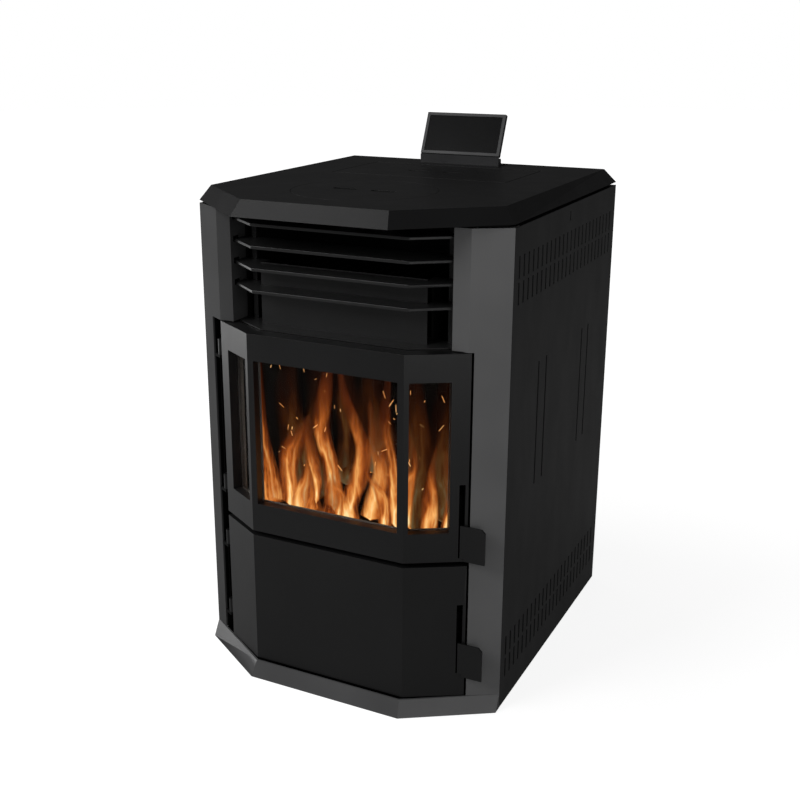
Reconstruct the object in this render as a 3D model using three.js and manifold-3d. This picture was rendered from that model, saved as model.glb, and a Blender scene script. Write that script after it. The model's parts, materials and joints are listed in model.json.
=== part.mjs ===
// A free-standing pellet stove with a faceted front: two glazed or plain doors between folded corner
// pillars, warm-air louvres above them, a loading lid, a tilting display, and the works inside.
// Millimetres. +X is the viewer's right from the front, +Y runs to the back, +Z is up.
// The origin is the middle of the footprint, on the floor.
import * as THREE from "three";
import { mergeVertices } from "three/addons/utils/BufferGeometryUtils.js";
import Module from "manifold-3d";

const wasm = await Module();
wasm.setup();

// ---------------------------------------------------------------- driving dimensions

// Casing
const bodyWidth = 536; // over the side panels
const bodyDepth = 512; // of a side panel, front edge to back edge
const foldX = 134.5; // half width of the flat middle facet of the front
const frontReach = 80; // how far the middle facet stands in front of the side panels
const plinthHeight = 25.3;
const plinthFlare = 12.7; // how far the skirt's foot spreads
const plinthReach = 86.7; // top of the skirt, in front of the side panels
const louvreZone = 181.5; // from the top of the fire door to the top of the panels
const reveal = 4.7; // dark joint under the top plate
const topPlateHeight = 23.8;
const topPlateReach = 121; // front edge of the top plate
const topPlateInset = 18; // how far its chamfer draws in
const topSkin = 6;
const sheetWall = 2; // casing sheet
const pillarWall = 2.5;
const gap = 0.3; // between parts that seat on each other

// Doors
const ashDoorHeight = 225;
const fireDoorHeight = 330;
const doorFoot = 1.7; // ash door above the plinth
const doorSplit = 8; // between the two doors
const doorThickness = 25;
const latchJambX = 222; // edge of the right pillar beside the doors
const hingeJambX = 241; // edge of the left pillar
const latchEdgeX = 219; // door edges, on the face plane
const hingeEdgeX = 215;
const jambDepth = 40;
const windowRailBottom = 48;
const windowRailTop = 43;
const middleWindowX = 124; // half width of the middle window
const sideWindowStart = 7.6; // along the side facet, from the fold
const sideWindowEnd = 70;
const glassRecess = 14;
const glassThickness = 4;
const glassLap = 6;
const sealWidth = 7;
const sealDepth = 8;
const sealOffset = 80; // rope's middle line, along the side facet from the fold

// Hinges and latches
const hingePinOffset = 15; // from the door's edge, along the side facet
const hingePinDepth = 6; // behind the face
const pintleRadius = 2.5;
const knuckleRadius = 5;
const knuckleLength = 26;
const knuckleMargin = 34; // from the door's ends to its knuckles
const runningGap = 0.4;
const latchSlotInset = 14; // slot's near edge, from the door's end
const latchSlotWidth = 9.3;
const latchSlotHeight = 120;
const fireSlotRise = 6; // slot's foot above the fire door's foot
const ashSlotRise = 39;
const latchPlate = 3;
const latchTabHeight = 58;
const latchTabEndX = 250;
const latchTabStep = 0.8; // tab's middle, behind the face

// Louvres
const finCount = 4;
const finPitch = 34.5;
const finThickness = 4.5;
const finTopDrop = 13.75; // top of the highest fin below the top of the panels
const finNoseX = 133;
const finNoseY = -63;
const finEndX = 189;
const finEndY = -22;
const finBackY = 9;
const finTenon = 4; // how far a fin's end enters the pillar
const pillarFoldX = 215; // where a pillar turns flat beside the louvres
const pillarInnerX = 189;
const pillarInnerStep = 1.2;
const innerPanelX = 143;
const innerPanelY = -20;
const innerPanelTop = 100; // above the fire door
const stripX = 170; // middle of a fin support strip
const stripWidth = 8;

// Vents in each side panel
const ventColumns = 24;
const ventPitch = 20;
const ventWidth = 4.5;
const ventHeight = 33;
const ventRowGap = 6;
const ventMargin = 20; // first column behind the front edge
const upperVentFoot = 656;
const lowerVentFoot = 46;
const slitFoot = 340;
const slitTop = 545;
const slitPairs = [127, 163]; // distance from the panel's front edge, and again from its back
const backVentRows = 3;
const backVentColumns = 12;
const backVentPitch = 24;
const backVentRise = 46;
const backVentFoot = 560;

// Lids
const roundLidRadius = 114.5;
const roundLidThickness = 3;
const lidLedge = 9; // ring of plate under the round lid
const hopperLidWidth = 318;
const hopperLidLength = 172;
const hopperLidThickness = 4;
const lidSideGap = 1.5;
const roundLidX = -4;
const roundSlotLength = 43;
const roundSlotWidth = 14;
const hopperSlotLength = 38;
const hopperSlotWidth = 9;
const lidSlotSpacing = 66; // between the middles of a lid's two slots
const lidPinRadius = 1.5;

// Display
const displayX = -7;
const displayWidth = 154;
const displayHeight = 78.5;
const displayThickness = 8;
const displayBezel = 6;
const displayBaseHeight = 16.5;
const displayBaseDepth = 34;
const displayBaseWall = 2;
const displayBarrel = 4.5;
const displayPinRadius = 2;
const displayEar = 8;
const displayTilt = 24; // degrees back from upright
const displaySetback = 69; // front of its base, from the back of the casing
const displayLidGap = 28; // from the base to the loading lid

// Fire chamber
const chamberShare = 0.3418; // of the casing's depth, to the outer face of its back wall
const chamberWall = 4;
const chamberRim = 8; // rim that the rope closes on
const linerThickness = 9.7;
const baffleThickness = 6;
const potWidth = 100;
const potDepth = 86;
const potHeight = 62;
const potWall = 8;
const potSetback = 63; // its middle, before the chamber's back
const igniterRadius = 5;
const ashPanHalf = 150;
const ashPanHeight = 78;
const ashPanWall = 2;
const ashGripHalf = 60;
const ashGripReach = 10;
const ashGripHeight = 16;
const linerHalf = 150;
const linerRibs = 15;
const linerGroove = 3; // depth of the grooves between its ribs
const exchangerHalf = 140;
const exchangerFins = 13;
const exchangerFinWall = 3;
const exchangerHeight = 86;
const shroudX = 188; // sheet round the warm air, from the louvres back

// Fuel feed
const hopperWall = 2;
const hopperMouthInset = 9; // inside the lid's edges
const hopperNeckWidth = 44;
const augerTubeRadius = 30;
const augerTubeWall = 3;
const augerScrewRadius = 24;
const augerShaftRadius = 7;
const augerPitch = 36;
const augerTopHeight = 430;
const augerFootHeight = 267;
const augerTopGap = 65; // behind the fire chamber
const augerFootGap = 105; // before the back panel
const chuteWidth = 66;
const gearMotorLength = 56;

// Air
const flueRadius = 40;
const flueWall = 2;
const flueReach = 48; // past the casing
const fanX = -107;
const fanZ = 150;
const fanRadius = 68;
const fanLength = 86;
const fanWall = 3;
const fanEyeRadius = 30;
const fanSetback = 90; // its shaft, before the back panel
const fanShaftRadius = 5;
const intakeRadius = 25;
const intakeX = 80;
const intakeZ = 215;
const intakeReach = 36;
const blowerLength = 210;
const blowerX = 95;
const blowerZ = 82;
const blowerRotorRadius = 28;
const blowerShaftRadius = 4;

// Mains inlet, in the back panel
const powerHalfX = 34;
const powerHalfZ = 14;
const powerLip = 3; // its flange round the hole, and its thickness

// ---------------------------------------------------------------- levels and planes

const halfWidth = bodyWidth / 2;
const ashDoorZ = plinthHeight + doorFoot;
const ashDoorTop = ashDoorZ + ashDoorHeight;
const fireDoorZ = ashDoorTop + doorSplit;
const fireDoorTop = fireDoorZ + fireDoorHeight;
const ledgeTop = fireDoorTop + sheetWall;
const bodyTop = fireDoorTop + louvreZone;
const topPlateZ = bodyTop + reveal;
const topZ = topPlateZ + topPlateHeight;
const rearY = bodyDepth + flueReach;
const originY = (rearY - topPlateReach) / 2;
const panelInnerX = halfWidth - sheetWall;
const chamberBack = Math.round(chamberShare * bodyDepth);
const backInnerY = bodyDepth - 2 * sheetWall;

// Places that move with the width keep their distance from the casing's corner.
const widthShift = halfWidth - 268;
const jambRight = latchJambX + widthShift;
const jambLeft = hingeJambX + widthShift;
const edgeRight = latchEdgeX + widthShift;
const edgeLeft = hingeEdgeX + widthShift;

// The side facets of the front run from the casing's corners to the folds.
const facetAngle = Math.atan2(frontReach, halfWidth - foldX);
const sinF = Math.sin(facetAngle);
const cosF = Math.cos(facetAngle);
const foldDraw = Math.tan(facetAngle / 2);

// A point at `along` mm from the fold on a side facet, `depth` mm behind the face.
const onFacet = (side, along, depth) => [
  side * (foldX + along * cosF - depth * sinF),
  -frontReach + along * sinF + depth * cosF,
];
const foldPoint = (side, depth) => [side * (foldX - depth * foldDraw), -frontReach + depth];
const alongOf = (x) => (x - foldX) / cosF;
const faceY = (x, depth = 0) => ((x - foldX) * sinF + depth) / cosF - frontReach;

const leftEnd = alongOf(edgeLeft); // the doors' ends, along the side facets
const rightEnd = alongOf(edgeRight);
const latchSlotStart = rightEnd - latchSlotInset;
const rightJamb = alongOf(jambRight);
const leftJamb = alongOf(jambLeft);
const pinAlong = leftEnd + hingePinOffset;
const [pinX, pinY] = onFacet(-1, pinAlong, hingePinDepth);

const rimDepth = doorThickness + sealDepth + gap; // face of the chambers' rims
const rimEnd = sealOffset + chamberRim / 2;
const chamberX = onFacet(1, rimEnd, rimDepth)[0];
const chamberZ = fireDoorZ + 2;
const chamberTop = fireDoorTop - gap;
const chamberInnerY = chamberBack - chamberWall;
const potMiddleY = chamberBack - potSetback;
const ashChamberZ = ashDoorZ + 3;

const lidRear = bodyDepth - displaySetback - displayLidGap;
const lidFront = lidRear - hopperLidLength;
const lidPinY = lidRear - hopperLidThickness;
const roundLidY = (topPlateInset - topPlateReach + lidFront) / 2 - 5;

const basePanTop = 3;
const chuteFoot = 345;
const chuteHead = 430;
const linerZ = chamberZ + chamberWall + gap;
const linerTop = chamberTop - 30;
const ductX = [fanX + fanLength / 2 + sheetWall + gap, fanX + fanLength / 2 + 46];
const powerX = 200;
const powerZ = 160;
const finTenonY = -9;
const finLevels = Array.from(
  { length: finCount },
  (_, i) => bodyTop - finTopDrop - finThickness - (finCount - 1 - i) * finPitch,
);

// The auger climbs from behind the ash chamber to a chute into the fire chamber.
const augerTop = [0, chamberBack + augerTopGap, augerTopHeight];
const augerFoot = [0, backInnerY - augerFootGap, augerFootHeight];
const augerRun = augerFoot[1] - augerTop[1];
const augerLength = Math.hypot(augerRun, augerTopHeight - augerFootHeight);
const augerAxis = [0, augerRun / augerLength, (augerFootHeight - augerTopHeight) / augerLength];
const onAuger = (distance) => augerTop.map((c, i) => c + distance * augerAxis[i]);
const neckY = onAuger(augerLength * 0.5)[1];
const neckZ = onAuger(augerLength * 0.5)[2];

// ---------------------------------------------------------------- solids

function toSolid(geometry) {
  const bare = geometry.index ? geometry.toNonIndexed() : geometry.clone();
  bare.deleteAttribute("normal");
  bare.deleteAttribute("uv");
  const merged = mergeVertices(bare, 1e-4);
  const mesh = new wasm.Mesh({
    numProp: 3,
    vertProperties: merged.attributes.position.array,
    triVerts: new Uint32Array(merged.index.array),
  });
  return new wasm.Manifold(mesh);
}

function toGeometry(solid) {
  const mesh = solid.getMesh();
  const geometry = new THREE.BufferGeometry();
  geometry.setAttribute("position", new THREE.BufferAttribute(mesh.vertProperties, 3));
  geometry.setIndex(new THREE.BufferAttribute(mesh.triVerts, 1));
  const flat = geometry.toNonIndexed();
  flat.computeVertexNormals();
  return flat;
}

const join = (first, ...others) => others.reduce((sum, next) => sum.add(next), first);
const cut = (first, ...others) => others.reduce((rest, next) => rest.subtract(next), first);

function block(x0, x1, y0, y1, z0, z1) {
  const geometry = new THREE.BoxGeometry(1, 1, 1);
  const corner = geometry.getAttribute("position");
  for (let i = 0; i < corner.count; i++)
    corner.setXYZ(
      i,
      corner.getX(i) < 0 ? x0 : x1,
      corner.getY(i) < 0 ? y0 : y1,
      corner.getZ(i) < 0 ? z0 : z1,
    );
  return toSolid(geometry);
}

const shapeOf = (points) => new THREE.Shape(points.map(([u, v]) => new THREE.Vector2(u, v)));

// An extrusion whose two ends lie exactly at w0 and w1.
function extrusion(outline, w0, w1, holes = []) {
  const shape = outline instanceof THREE.Shape ? outline : shapeOf(outline);
  shape.holes.push(...holes.map(shapeOf));
  const geometry = new THREE.ExtrudeGeometry(shape, { depth: 1, bevelEnabled: false });
  const corner = geometry.getAttribute("position");
  for (let i = 0; i < corner.count; i++) corner.setZ(i, corner.getZ(i) < 0.5 ? w0 : w1);
  return geometry;
}

// An outline in plan, pushed up from z0 to z1.
const prism = (outline, z0, z1, holes) => toSolid(extrusion(outline, z0, z1, holes));

// An outline of (y, z) points, pushed from x0 to x1.
function prismX(outline, x0, x1) {
  const turn = new THREE.Matrix4().set(0, 0, 1, 0, 1, 0, 0, 0, 0, 1, 0, 0, 0, 0, 0, 1);
  return toSolid(extrusion(outline, x0, x1).applyMatrix4(turn));
}

// An outline of (z, x) points, pushed from y0 to y1.
function prismY(outline, y0, y1) {
  const turn = new THREE.Matrix4().set(0, 1, 0, 0, 0, 0, 1, 0, 1, 0, 0, 0, 0, 0, 0, 1);
  return toSolid(extrusion(outline, y0, y1).applyMatrix4(turn));
}

// A round bar from one point to another.
function rod(radius, from, to, sides = 24) {
  const a = new THREE.Vector3(...from);
  const b = new THREE.Vector3(...to);
  const direction = b.clone().sub(a);
  const geometry = new THREE.CylinderGeometry(radius, radius, direction.length(), sides);
  const turn = new THREE.Quaternion().setFromUnitVectors(
    new THREE.Vector3(0, 1, 0),
    direction.clone().normalize(),
  );
  const middle = a.add(b).multiplyScalar(0.5);
  return toSolid(geometry.applyQuaternion(turn).translate(middle.x, middle.y, middle.z));
}

const tube = (outer, inner, from, to, sides = 32) => {
  const a = new THREE.Vector3(...from);
  const b = new THREE.Vector3(...to);
  const past = b.clone().sub(a).normalize();
  const start = a.clone().sub(past).toArray();
  const end = b.clone().add(past).toArray();
  return cut(rod(outer, from, to, sides), rod(inner, start, end, sides));
};

// Each edge of a closed anticlockwise outline, moved in by a distance.
function inset(points, distance) {
  const n = points.length;
  const normal = (i) => {
    const [ax, ay] = points[i % n];
    const [bx, by] = points[(i + 1) % n];
    const length = Math.hypot(bx - ax, by - ay);
    return [-(by - ay) / length, (bx - ax) / length];
  };
  return points.map(([x, y], i) => {
    const a = normal(i + n - 1);
    const b = normal(i);
    const scale = distance / (1 + a[0] * b[0] + a[1] * b[1]);
    return [x + (a[0] + b[0]) * scale, y + (a[1] + b[1]) * scale];
  });
}

// A solid between two outlines with the same number of corners, given anticlockwise from above.
function loft(lower, z0, upper, z1) {
  const n = lower.length;
  const points = [...lower.map(([x, y]) => [x, y, z0]), ...upper.map(([x, y]) => [x, y, z1])];
  const faces = [];
  for (let i = 0; i < n; i++) {
    const j = (i + 1) % n;
    faces.push(i, j, n + j, i, n + j, n + i);
  }
  const caps = THREE.ShapeUtils.triangulateShape(
    lower.map(([x, y]) => new THREE.Vector2(x, y)),
    [],
  );
  for (const [a, b, c] of caps) faces.push(c, b, a, n + a, n + b, n + c);
  const geometry = new THREE.BufferGeometry();
  geometry.setAttribute("position", new THREE.Float32BufferAttribute(points.flat(), 3));
  geometry.setIndex(faces);
  return toSolid(geometry);
}

// Sheet folded along a run of points in plan: its wall lies to the left of the run.
function foldedOutline(points, wall) {
  const normals = points.slice(1).map(([x, y], i) => {
    const [px, py] = points[i];
    const length = Math.hypot(x - px, y - py);
    return [-(y - py) / length, (x - px) / length];
  });
  const inner = points.map(([x, y], i) => {
    const a = normals[Math.max(i - 1, 0)];
    const b = normals[Math.min(i, normals.length - 1)];
    const scale = wall / (1 + a[0] * b[0] + a[1] * b[1]);
    return [x + (a[0] + b[0]) * scale, y + (a[1] + b[1]) * scale];
  });
  return [...points, ...inner.reverse()];
}

// A slab of the faceted front between two depths, with square ends.
// left and right are distances along the side facets from the folds.
function frontBand(left, right, near, far, z0, z1) {
  const outline = [
    onFacet(-1, left, near),
    foldPoint(-1, near),
    foldPoint(1, near),
    onFacet(1, right, near),
    onFacet(1, right, far),
    foldPoint(1, far),
    foldPoint(-1, far),
    onFacet(-1, left, far),
  ];
  return prism(outline, z0, z1);
}

// A slab of one side facet only.
function facetSlab(side, from, to, near, far, z0, z1) {
  const corners = [
    onFacet(side, from, near),
    onFacet(side, to, near),
    onFacet(side, to, far),
    onFacet(side, from, far),
  ];
  return prism(side > 0 ? corners : corners.reverse(), z0, z1);
}

const mirrored = (outline) => outline.map(([x, y]) => [-x, y]).reverse();

// Six-sided outline of the casing in plan: corners, folds and a straight back.
const sixSided = (cornerX, cornerY, noseX, noseY, backY) => [
  [-cornerX, cornerY],
  [-noseX, noseY],
  [noseX, noseY],
  [cornerX, cornerY],
  [cornerX, backY],
  [-cornerX, backY],
];

// A slot with round ends, as a hole for an outline.
function roundSlot(x, y, length, width) {
  const slot = new THREE.Path();
  const half = length / 2 - width / 2;
  slot.absarc(x + half, y, width / 2, -Math.PI / 2, Math.PI / 2, false);
  slot.absarc(x - half, y, width / 2, Math.PI / 2, (3 * Math.PI) / 2, false);
  slot.closePath();
  return slot;
}

const rectangle = (u0, u1, v0, v1) => [
  [u0, v0],
  [u1, v0],
  [u1, v1],
  [u0, v1],
];

// ---------------------------------------------------------------- finishes

const finish = (color, roughness, metalness, extra = {}) =>
  new THREE.MeshStandardMaterial({ color, roughness, metalness, ...extra });
const blackPaint = finish(0x1c1c1d, 0.5, 0.3);
const frontPaint = finish(0x2a2a2b, 0.45, 0.3);
const doorPaint = finish(0x202021, 0.45, 0.3);
const darkSteel = finish(0x17171a, 0.7, 0.5);
const castIron = finish(0x2b2b2b, 0.8, 0.6);
const zincSteel = finish(0x8d9094, 0.4, 0.9);
const glassFinish = finish(0x201c18, 0.05, 0, { transparent: true, opacity: 0.35 });
const ropeFinish = finish(0x4a4a48, 0.95, 0);
const blackPlastic = finish(0x161617, 0.5, 0);
const screenFinish = finish(0x0d0e10, 0.15, 0);
const rubberFinish = finish(0x101010, 0.8, 0);

// ---------------------------------------------------------------- assembly

const casing = new THREE.Group();
casing.position.y = -originY;

function piece(name, solid, material, parent = casing) {
  const mesh = new THREE.Mesh(toGeometry(solid), material);
  mesh.name = name;
  parent.add(mesh);
}

// ---------------------------------------------------------------- casing

const bodyOutline = sixSided(halfWidth, 0, foldX, -frontReach, bodyDepth);

function makeTopPlate() {
  const outer = sixSided(halfWidth, 0, foldX - 6.5, -topPlateReach, bodyDepth);
  const rim = 14;
  const trayTop = topZ - topSkin;
  const slope = (topPlateInset * (trayTop - topPlateZ)) / topPlateHeight;
  const shell = cut(
    loft(outer, topPlateZ, inset(outer, topPlateInset), topZ),
    loft(inset(outer, rim), topPlateZ - 1, inset(outer, rim + slope / 2), trayTop),
  );
  const seatZ = topZ - roundLidThickness - gap;
  const lidHole = roundLidRadius - lidLedge;
  const mouthX = hopperLidWidth / 2 + lidSideGap;
  const lugX = (side) => (side > 0 ? [mouthX + 0.2, mouthX + 8] : [-mouthX - 8, -mouthX - 0.2]);
  const lug = (side) => block(...lugX(side), lidPinY - 6, lidPinY + 6, trayTop - 6, trayTop + 1);
  const pinHole = rod(
    lidPinRadius + 0.2,
    [-mouthX - 7, lidPinY, topZ - hopperLidThickness],
    [mouthX + 7, lidPinY, topZ - hopperLidThickness],
    16,
  );
  return cut(
    join(shell, lug(-1), lug(1)),
    rod(roundLidRadius + 0.6, [roundLidX, roundLidY, seatZ], [roundLidX, roundLidY, topZ + 1], 40),
    rod(lidHole, [roundLidX, roundLidY, trayTop - 1], [roundLidX, roundLidY, topZ + 1], 40),
    block(-mouthX, mouthX, lidFront - lidSideGap, lidRear + lidSideGap, trayTop - 1, topZ + 1),
    pinHole,
  );
}

function makeTopFrame() {
  const outer = inset(bodyOutline, 10);
  return prism(outer, bodyTop, topPlateZ, [inset(bodyOutline, 34)]);
}

// Two fingers pinch the bridge between a lid's two slots.
const lidSlots = (x, y, length, width, z0, z1) =>
  [-1, 1].map((side) => {
    const slot = roundSlot(x + (side * lidSlotSpacing) / 2, y, length, width);
    return prism(new THREE.Shape(slot.getPoints(4)), z0, z1);
  });

function makeRoundLid() {
  const low = topZ - roundLidThickness;
  const plate = rod(roundLidRadius, [roundLidX, roundLidY, low], [roundLidX, roundLidY, topZ], 40);
  return cut(
    plate,
    ...lidSlots(roundLidX, roundLidY, roundSlotLength, roundSlotWidth, low - 1, topZ + 1),
  );
}

function makeHopperLid() {
  const half = hopperLidWidth / 2;
  const low = topZ - hopperLidThickness;
  const middle = (lidFront + lidPinY) / 2;
  const end = half + 1;
  return cut(
    join(
      block(-half, half, lidFront, lidPinY, low, topZ),
      rod(hopperLidThickness, [-half, lidPinY, low], [half, lidPinY, low], 24),
    ),
    rod(lidPinRadius + gap, [-end, lidPinY, low], [end, lidPinY, low], 16),
    ...lidSlots(0, middle - 4, hopperSlotLength, hopperSlotWidth, low - 1, topZ + 1),
  );
}

function makeLidPin() {
  const end = hopperLidWidth / 2 + lidSideGap + 6.5;
  const z = topZ - hopperLidThickness;
  return rod(lidPinRadius, [-end, lidPinY, z], [end, lidPinY, z], 16);
}

// Openings in a sheet that faces along X, each given by its corners in (y, z).
const cutX = (sheet, x0, x1, openings) =>
  cut(sheet, ...openings.map(([[y0, z0], , [y1, z1]]) => block(x0 - 1, x1 + 1, y0, y1, z0, z1)));

function ventHoles() {
  const columns = Math.floor((bodyDepth - 2 * ventMargin) / ventPitch) + 1;
  const holes = [];
  for (const foot of [upperVentFoot, lowerVentFoot])
    for (let row = 0; row < 2; row++)
      for (let column = 0; column < columns; column++) {
        const y = ventMargin + column * ventPitch;
        const z = foot + row * (ventHeight + ventRowGap);
        holes.push(rectangle(y, y + ventWidth, z, z + ventHeight));
      }
  for (const distance of slitPairs)
    for (const y of [distance, bodyDepth - distance])
      holes.push(rectangle(y - ventWidth / 2, y + ventWidth / 2, slitFoot, slitTop));
  holes.push(rectangle(bodyDepth / 2 - 5, bodyDepth / 2 - 2, bodyTop - 26, bodyTop - 11));
  return holes;
}

function makeSidePanel(side) {
  const sheet = rectangle(gap, bodyDepth, 0, bodyTop);
  const [x0, x1] = side > 0 ? [panelInnerX, halfWidth] : [-halfWidth, -panelInnerX];
  const flange = side > 0 ? [halfWidth - 22, panelInnerX + 1] : [-panelInnerX - 1, 22 - halfWidth];
  return join(
    cutX(prismX(sheet, x0, x1), x0, x1, ventHoles()),
    block(...flange, 24, backInnerY - 1, bodyTop - sheetWall, bodyTop),
  );
}

function makeBackPanel() {
  const half = panelInnerX - gap;
  const [y0, y1] = [backInnerY - 1, backInnerY + sheetWall + 1];
  const holes = [
    rod(flueRadius + 0.8, [fanX, y0, fanZ], [fanX, y1, fanZ], 32),
    rod(intakeRadius + 0.8, [intakeX, y0, intakeZ], [intakeX, y1, intakeZ], 32),
    block(powerX - powerHalfX, powerX + powerHalfX, y0, y1, powerZ - powerHalfZ, powerZ + powerHalfZ),
  ];
  for (let row = 0; row < backVentRows; row++)
    for (let column = 0; column < backVentColumns; column++) {
      const x = (column - (backVentColumns - 1) / 2) * backVentPitch;
      const z = backVentFoot + row * backVentRise;
      holes.push(block(x - ventWidth / 2, x + ventWidth / 2, y0, y1, z, z + ventHeight));
    }
  return cut(block(-half, half, backInnerY, backInnerY + sheetWall, 0, bodyTop), ...holes);
}

// A pillar is one sheet: a flange inside the side panel, the slanted face, a return that is the
// door's jamb, and above the doors a cheek beside the louvres.
function makePillar(side, jambX) {
  const jamb = alongOf(jambX);
  const w = pillarWall;
  const step = fireDoorTop + 1;
  const foldAt = pillarFoldX + widthShift;
  const innerX = pillarInnerX + widthShift;
  const innerY = faceY(foldAt) - pillarInnerStep;
  const cheek = [[innerX, finBackY], [innerX, innerY], [foldAt, faceY(foldAt)], [halfWidth, 0]];
  const sheet = foldedOutline(cheek, w);
  const plan = [
    ...sheet.slice(0, 5),
    onFacet(1, jamb + w, w),
    onFacet(1, jamb + w, jambDepth),
    onFacet(1, jamb - 0.5, jambDepth),
    onFacet(1, jamb - 0.5, w),
    ...sheet.slice(5),
  ];
  const doorway = [
    onFacet(1, jamb, -9),
    onFacet(1, jamb, jambDepth + 9),
    [innerX - 9, jambDepth],
    [innerX - 9, innerY - 20],
  ];
  const shelf = [
    [innerX + 1, innerY + 1],
    [foldAt, faceY(foldAt, 1)],
    onFacet(1, jamb + 1, 1),
    onFacet(1, jamb + 1, 30),
    [innerX + 1, 0],
  ];
  const place = (outline) => (side > 0 ? outline : mirrored(outline));
  const flangeOut = panelInnerX - gap;
  const flange = rectangle(flangeOut - w, flangeOut, -1, 22);
  const clear = rectangle(flangeOut, halfWidth + 1, 0, 6);
  const notches = finLevels.map((z) =>
    prism(place(rectangle(innerX - 1, innerX + 8, finEndY - 3, finTenonY + 1)), z - gap, z + 9),
  );
  return cut(
    join(
      prism(place(plan), plinthHeight, bodyTop),
      prism(place(flange), plinthHeight, bodyTop),
    ),
    prism(place(doorway), plinthHeight - 1, step),
    prism(place(clear), plinthHeight - 1, bodyTop + 1),
    ...notches,
  ).add(prism(place(shelf), step + 0.2, step + w));
}

function skirtOutline(spread, y) {
  const reach = plinthReach + spread;
  return [
    [-halfWidth, -spread * 1.18],
    [-foldX + 2.3 - spread * 0.29, -reach],
    [foldX - 2.3 + spread * 0.29, -reach],
    [halfWidth, -spread * 1.18],
    [halfWidth, y],
    [-halfWidth, y],
  ];
}

function makePlinthSkirt() {
  const wall = 3;
  const foot = skirtOutline(plinthFlare, 20);
  const head = skirtOutline(0, 20);
  return cut(
    loft(foot, 0, head, plinthHeight),
    loft(inset(foot, wall), -0.01, inset(head, wall), plinthHeight + 0.01),
    block(-halfWidth - 1, halfWidth + 1, 0, 21, -1, plinthHeight + 1),
  );
}

function makeBasePan() {
  const outline = inset(skirtOutline(plinthFlare, backInnerY + 5), 5.5);
  return prism(outline, 0, basePanTop);
}

// ---------------------------------------------------------------- louvres

const finEdge = finEndX + widthShift;

function makeFin(z) {
  const nose = finNoseX;
  const tip = finEdge + finTenon;
  const tipY = finEndY + (finTenon * (finEndY - finNoseY)) / (finEndX - finNoseX);
  const right = [
    [nose, finNoseY],
    [finEdge, finEndY],
    [tip, tipY],
    [tip, finTenonY],
    [finEdge - gap, finTenonY],
    [finEdge - gap, finBackY],
  ];
  const left = right.map(([x, y]) => [-x, y]).reverse();
  const fin = prism([...left, ...right], z, z + finThickness);
  const strips = [-1, 1].map((side) => stripBlock(side, gap, z - 1, z + finThickness + 1));
  const blocked = z < fireDoorTop + innerPanelTop + gap;
  const behind = block(
    -innerPanelX - gap,
    innerPanelX + gap,
    innerPanelY - gap,
    finBackY + 1,
    z - 1,
    z + finThickness + 1,
  );
  return cut(fin, ...strips, ...(blocked ? [behind] : []));
}

function stripBlock(side, grow, z0, z1) {
  const a = side * (stripX - stripWidth / 2) - side * grow;
  const b = side * (stripX + stripWidth / 2) + side * grow;
  return block(Math.min(a, b), Math.max(a, b), finBackY - 4 - grow, finBackY + grow, z0, z1);
}

// The ledge behind the fire door, the upright panel and the strips that carry the louvres are welded.
function makeInnerFrontPanel() {
  const depth = doorThickness + 2;
  const x = finEdge - 2;
  const ledge = [
    [-x, faceY(x, depth)],
    foldPoint(-1, depth),
    foldPoint(1, depth),
    [x, faceY(x, depth)],
    [x, finBackY],
    [-x, finBackY],
  ];
  const top = fireDoorTop + innerPanelTop;
  return join(
    prism(ledge, fireDoorTop, ledgeTop),
    block(-innerPanelX, innerPanelX, innerPanelY, innerPanelY + sheetWall, ledgeTop - 1, top),
    stripBlock(-1, 0, ledgeTop - 1, bodyTop - gap),
    stripBlock(1, 0, ledgeTop - 1, bodyTop - gap),
  );
}

// ---------------------------------------------------------------- doors

const fireWindowZ = fireDoorZ + windowRailBottom;
const fireWindowTop = fireDoorTop - windowRailTop;

const windowCuts = (near, far) => [
  block(-middleWindowX, middleWindowX, near - frontReach, far - frontReach, fireWindowZ, fireWindowTop),
  ...[-1, 1].map((side) =>
    facetSlab(side, sideWindowStart, sideWindowEnd, near, far, fireWindowZ, fireWindowTop),
  ),
];

const latchSlot = (foot) =>
  facetSlab(
    1,
    latchSlotStart,
    latchSlotStart + latchSlotWidth,
    -1,
    doorThickness + 1,
    foot,
    foot + latchSlotHeight,
  );

const knuckleFeet = (z, height) => [z + knuckleMargin, z + height - knuckleMargin - knuckleLength];

// Tubes welded to a door's edge, which drop over the pintles on the left jamb.
function knuckles(z, height) {
  return knuckleFeet(z, height).map((foot) =>
    join(
      rod(knuckleRadius, [pinX, pinY, foot], [pinX, pinY, foot + knuckleLength], 20),
      facetSlab(-1, leftEnd - 1, pinAlong, hingePinDepth - 2, hingePinDepth + 2, foot, foot + knuckleLength),
    ),
  );
}

const knuckleBore = (z, height) =>
  rod(pintleRadius + runningGap, [pinX, pinY, z], [pinX, pinY, z + height], 20);

function makeFireDoor() {
  const pocket = frontBand(
    sideWindowEnd + glassLap,
    sideWindowEnd + glassLap,
    glassRecess,
    doorThickness + 1,
    fireWindowZ - glassLap,
    fireWindowTop + glassLap,
  );
  return cut(
    join(
      frontBand(leftEnd, rightEnd, 0, doorThickness, fireDoorZ, fireDoorTop),
      ...knuckles(fireDoorZ, fireDoorHeight),
    ),
    ...windowCuts(-1, glassRecess + 1),
    pocket,
    latchSlot(fireDoorZ + fireSlotRise),
    knuckleBore(fireDoorZ, fireDoorHeight),
  );
}

function makeAshDoor() {
  const hollow = frontBand(
    sealOffset - sealWidth,
    sealOffset - sealWidth,
    4,
    doorThickness + 1,
    ashDoorZ + 22,
    ashDoorTop - 22,
  );
  return cut(
    join(
      frontBand(leftEnd, rightEnd, 0, doorThickness, ashDoorZ, ashDoorTop),
      ...knuckles(ashDoorZ, ashDoorHeight),
    ),
    hollow,
    latchSlot(ashDoorZ + ashSlotRise),
    knuckleBore(ashDoorZ, ashDoorHeight),
  );
}

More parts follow.
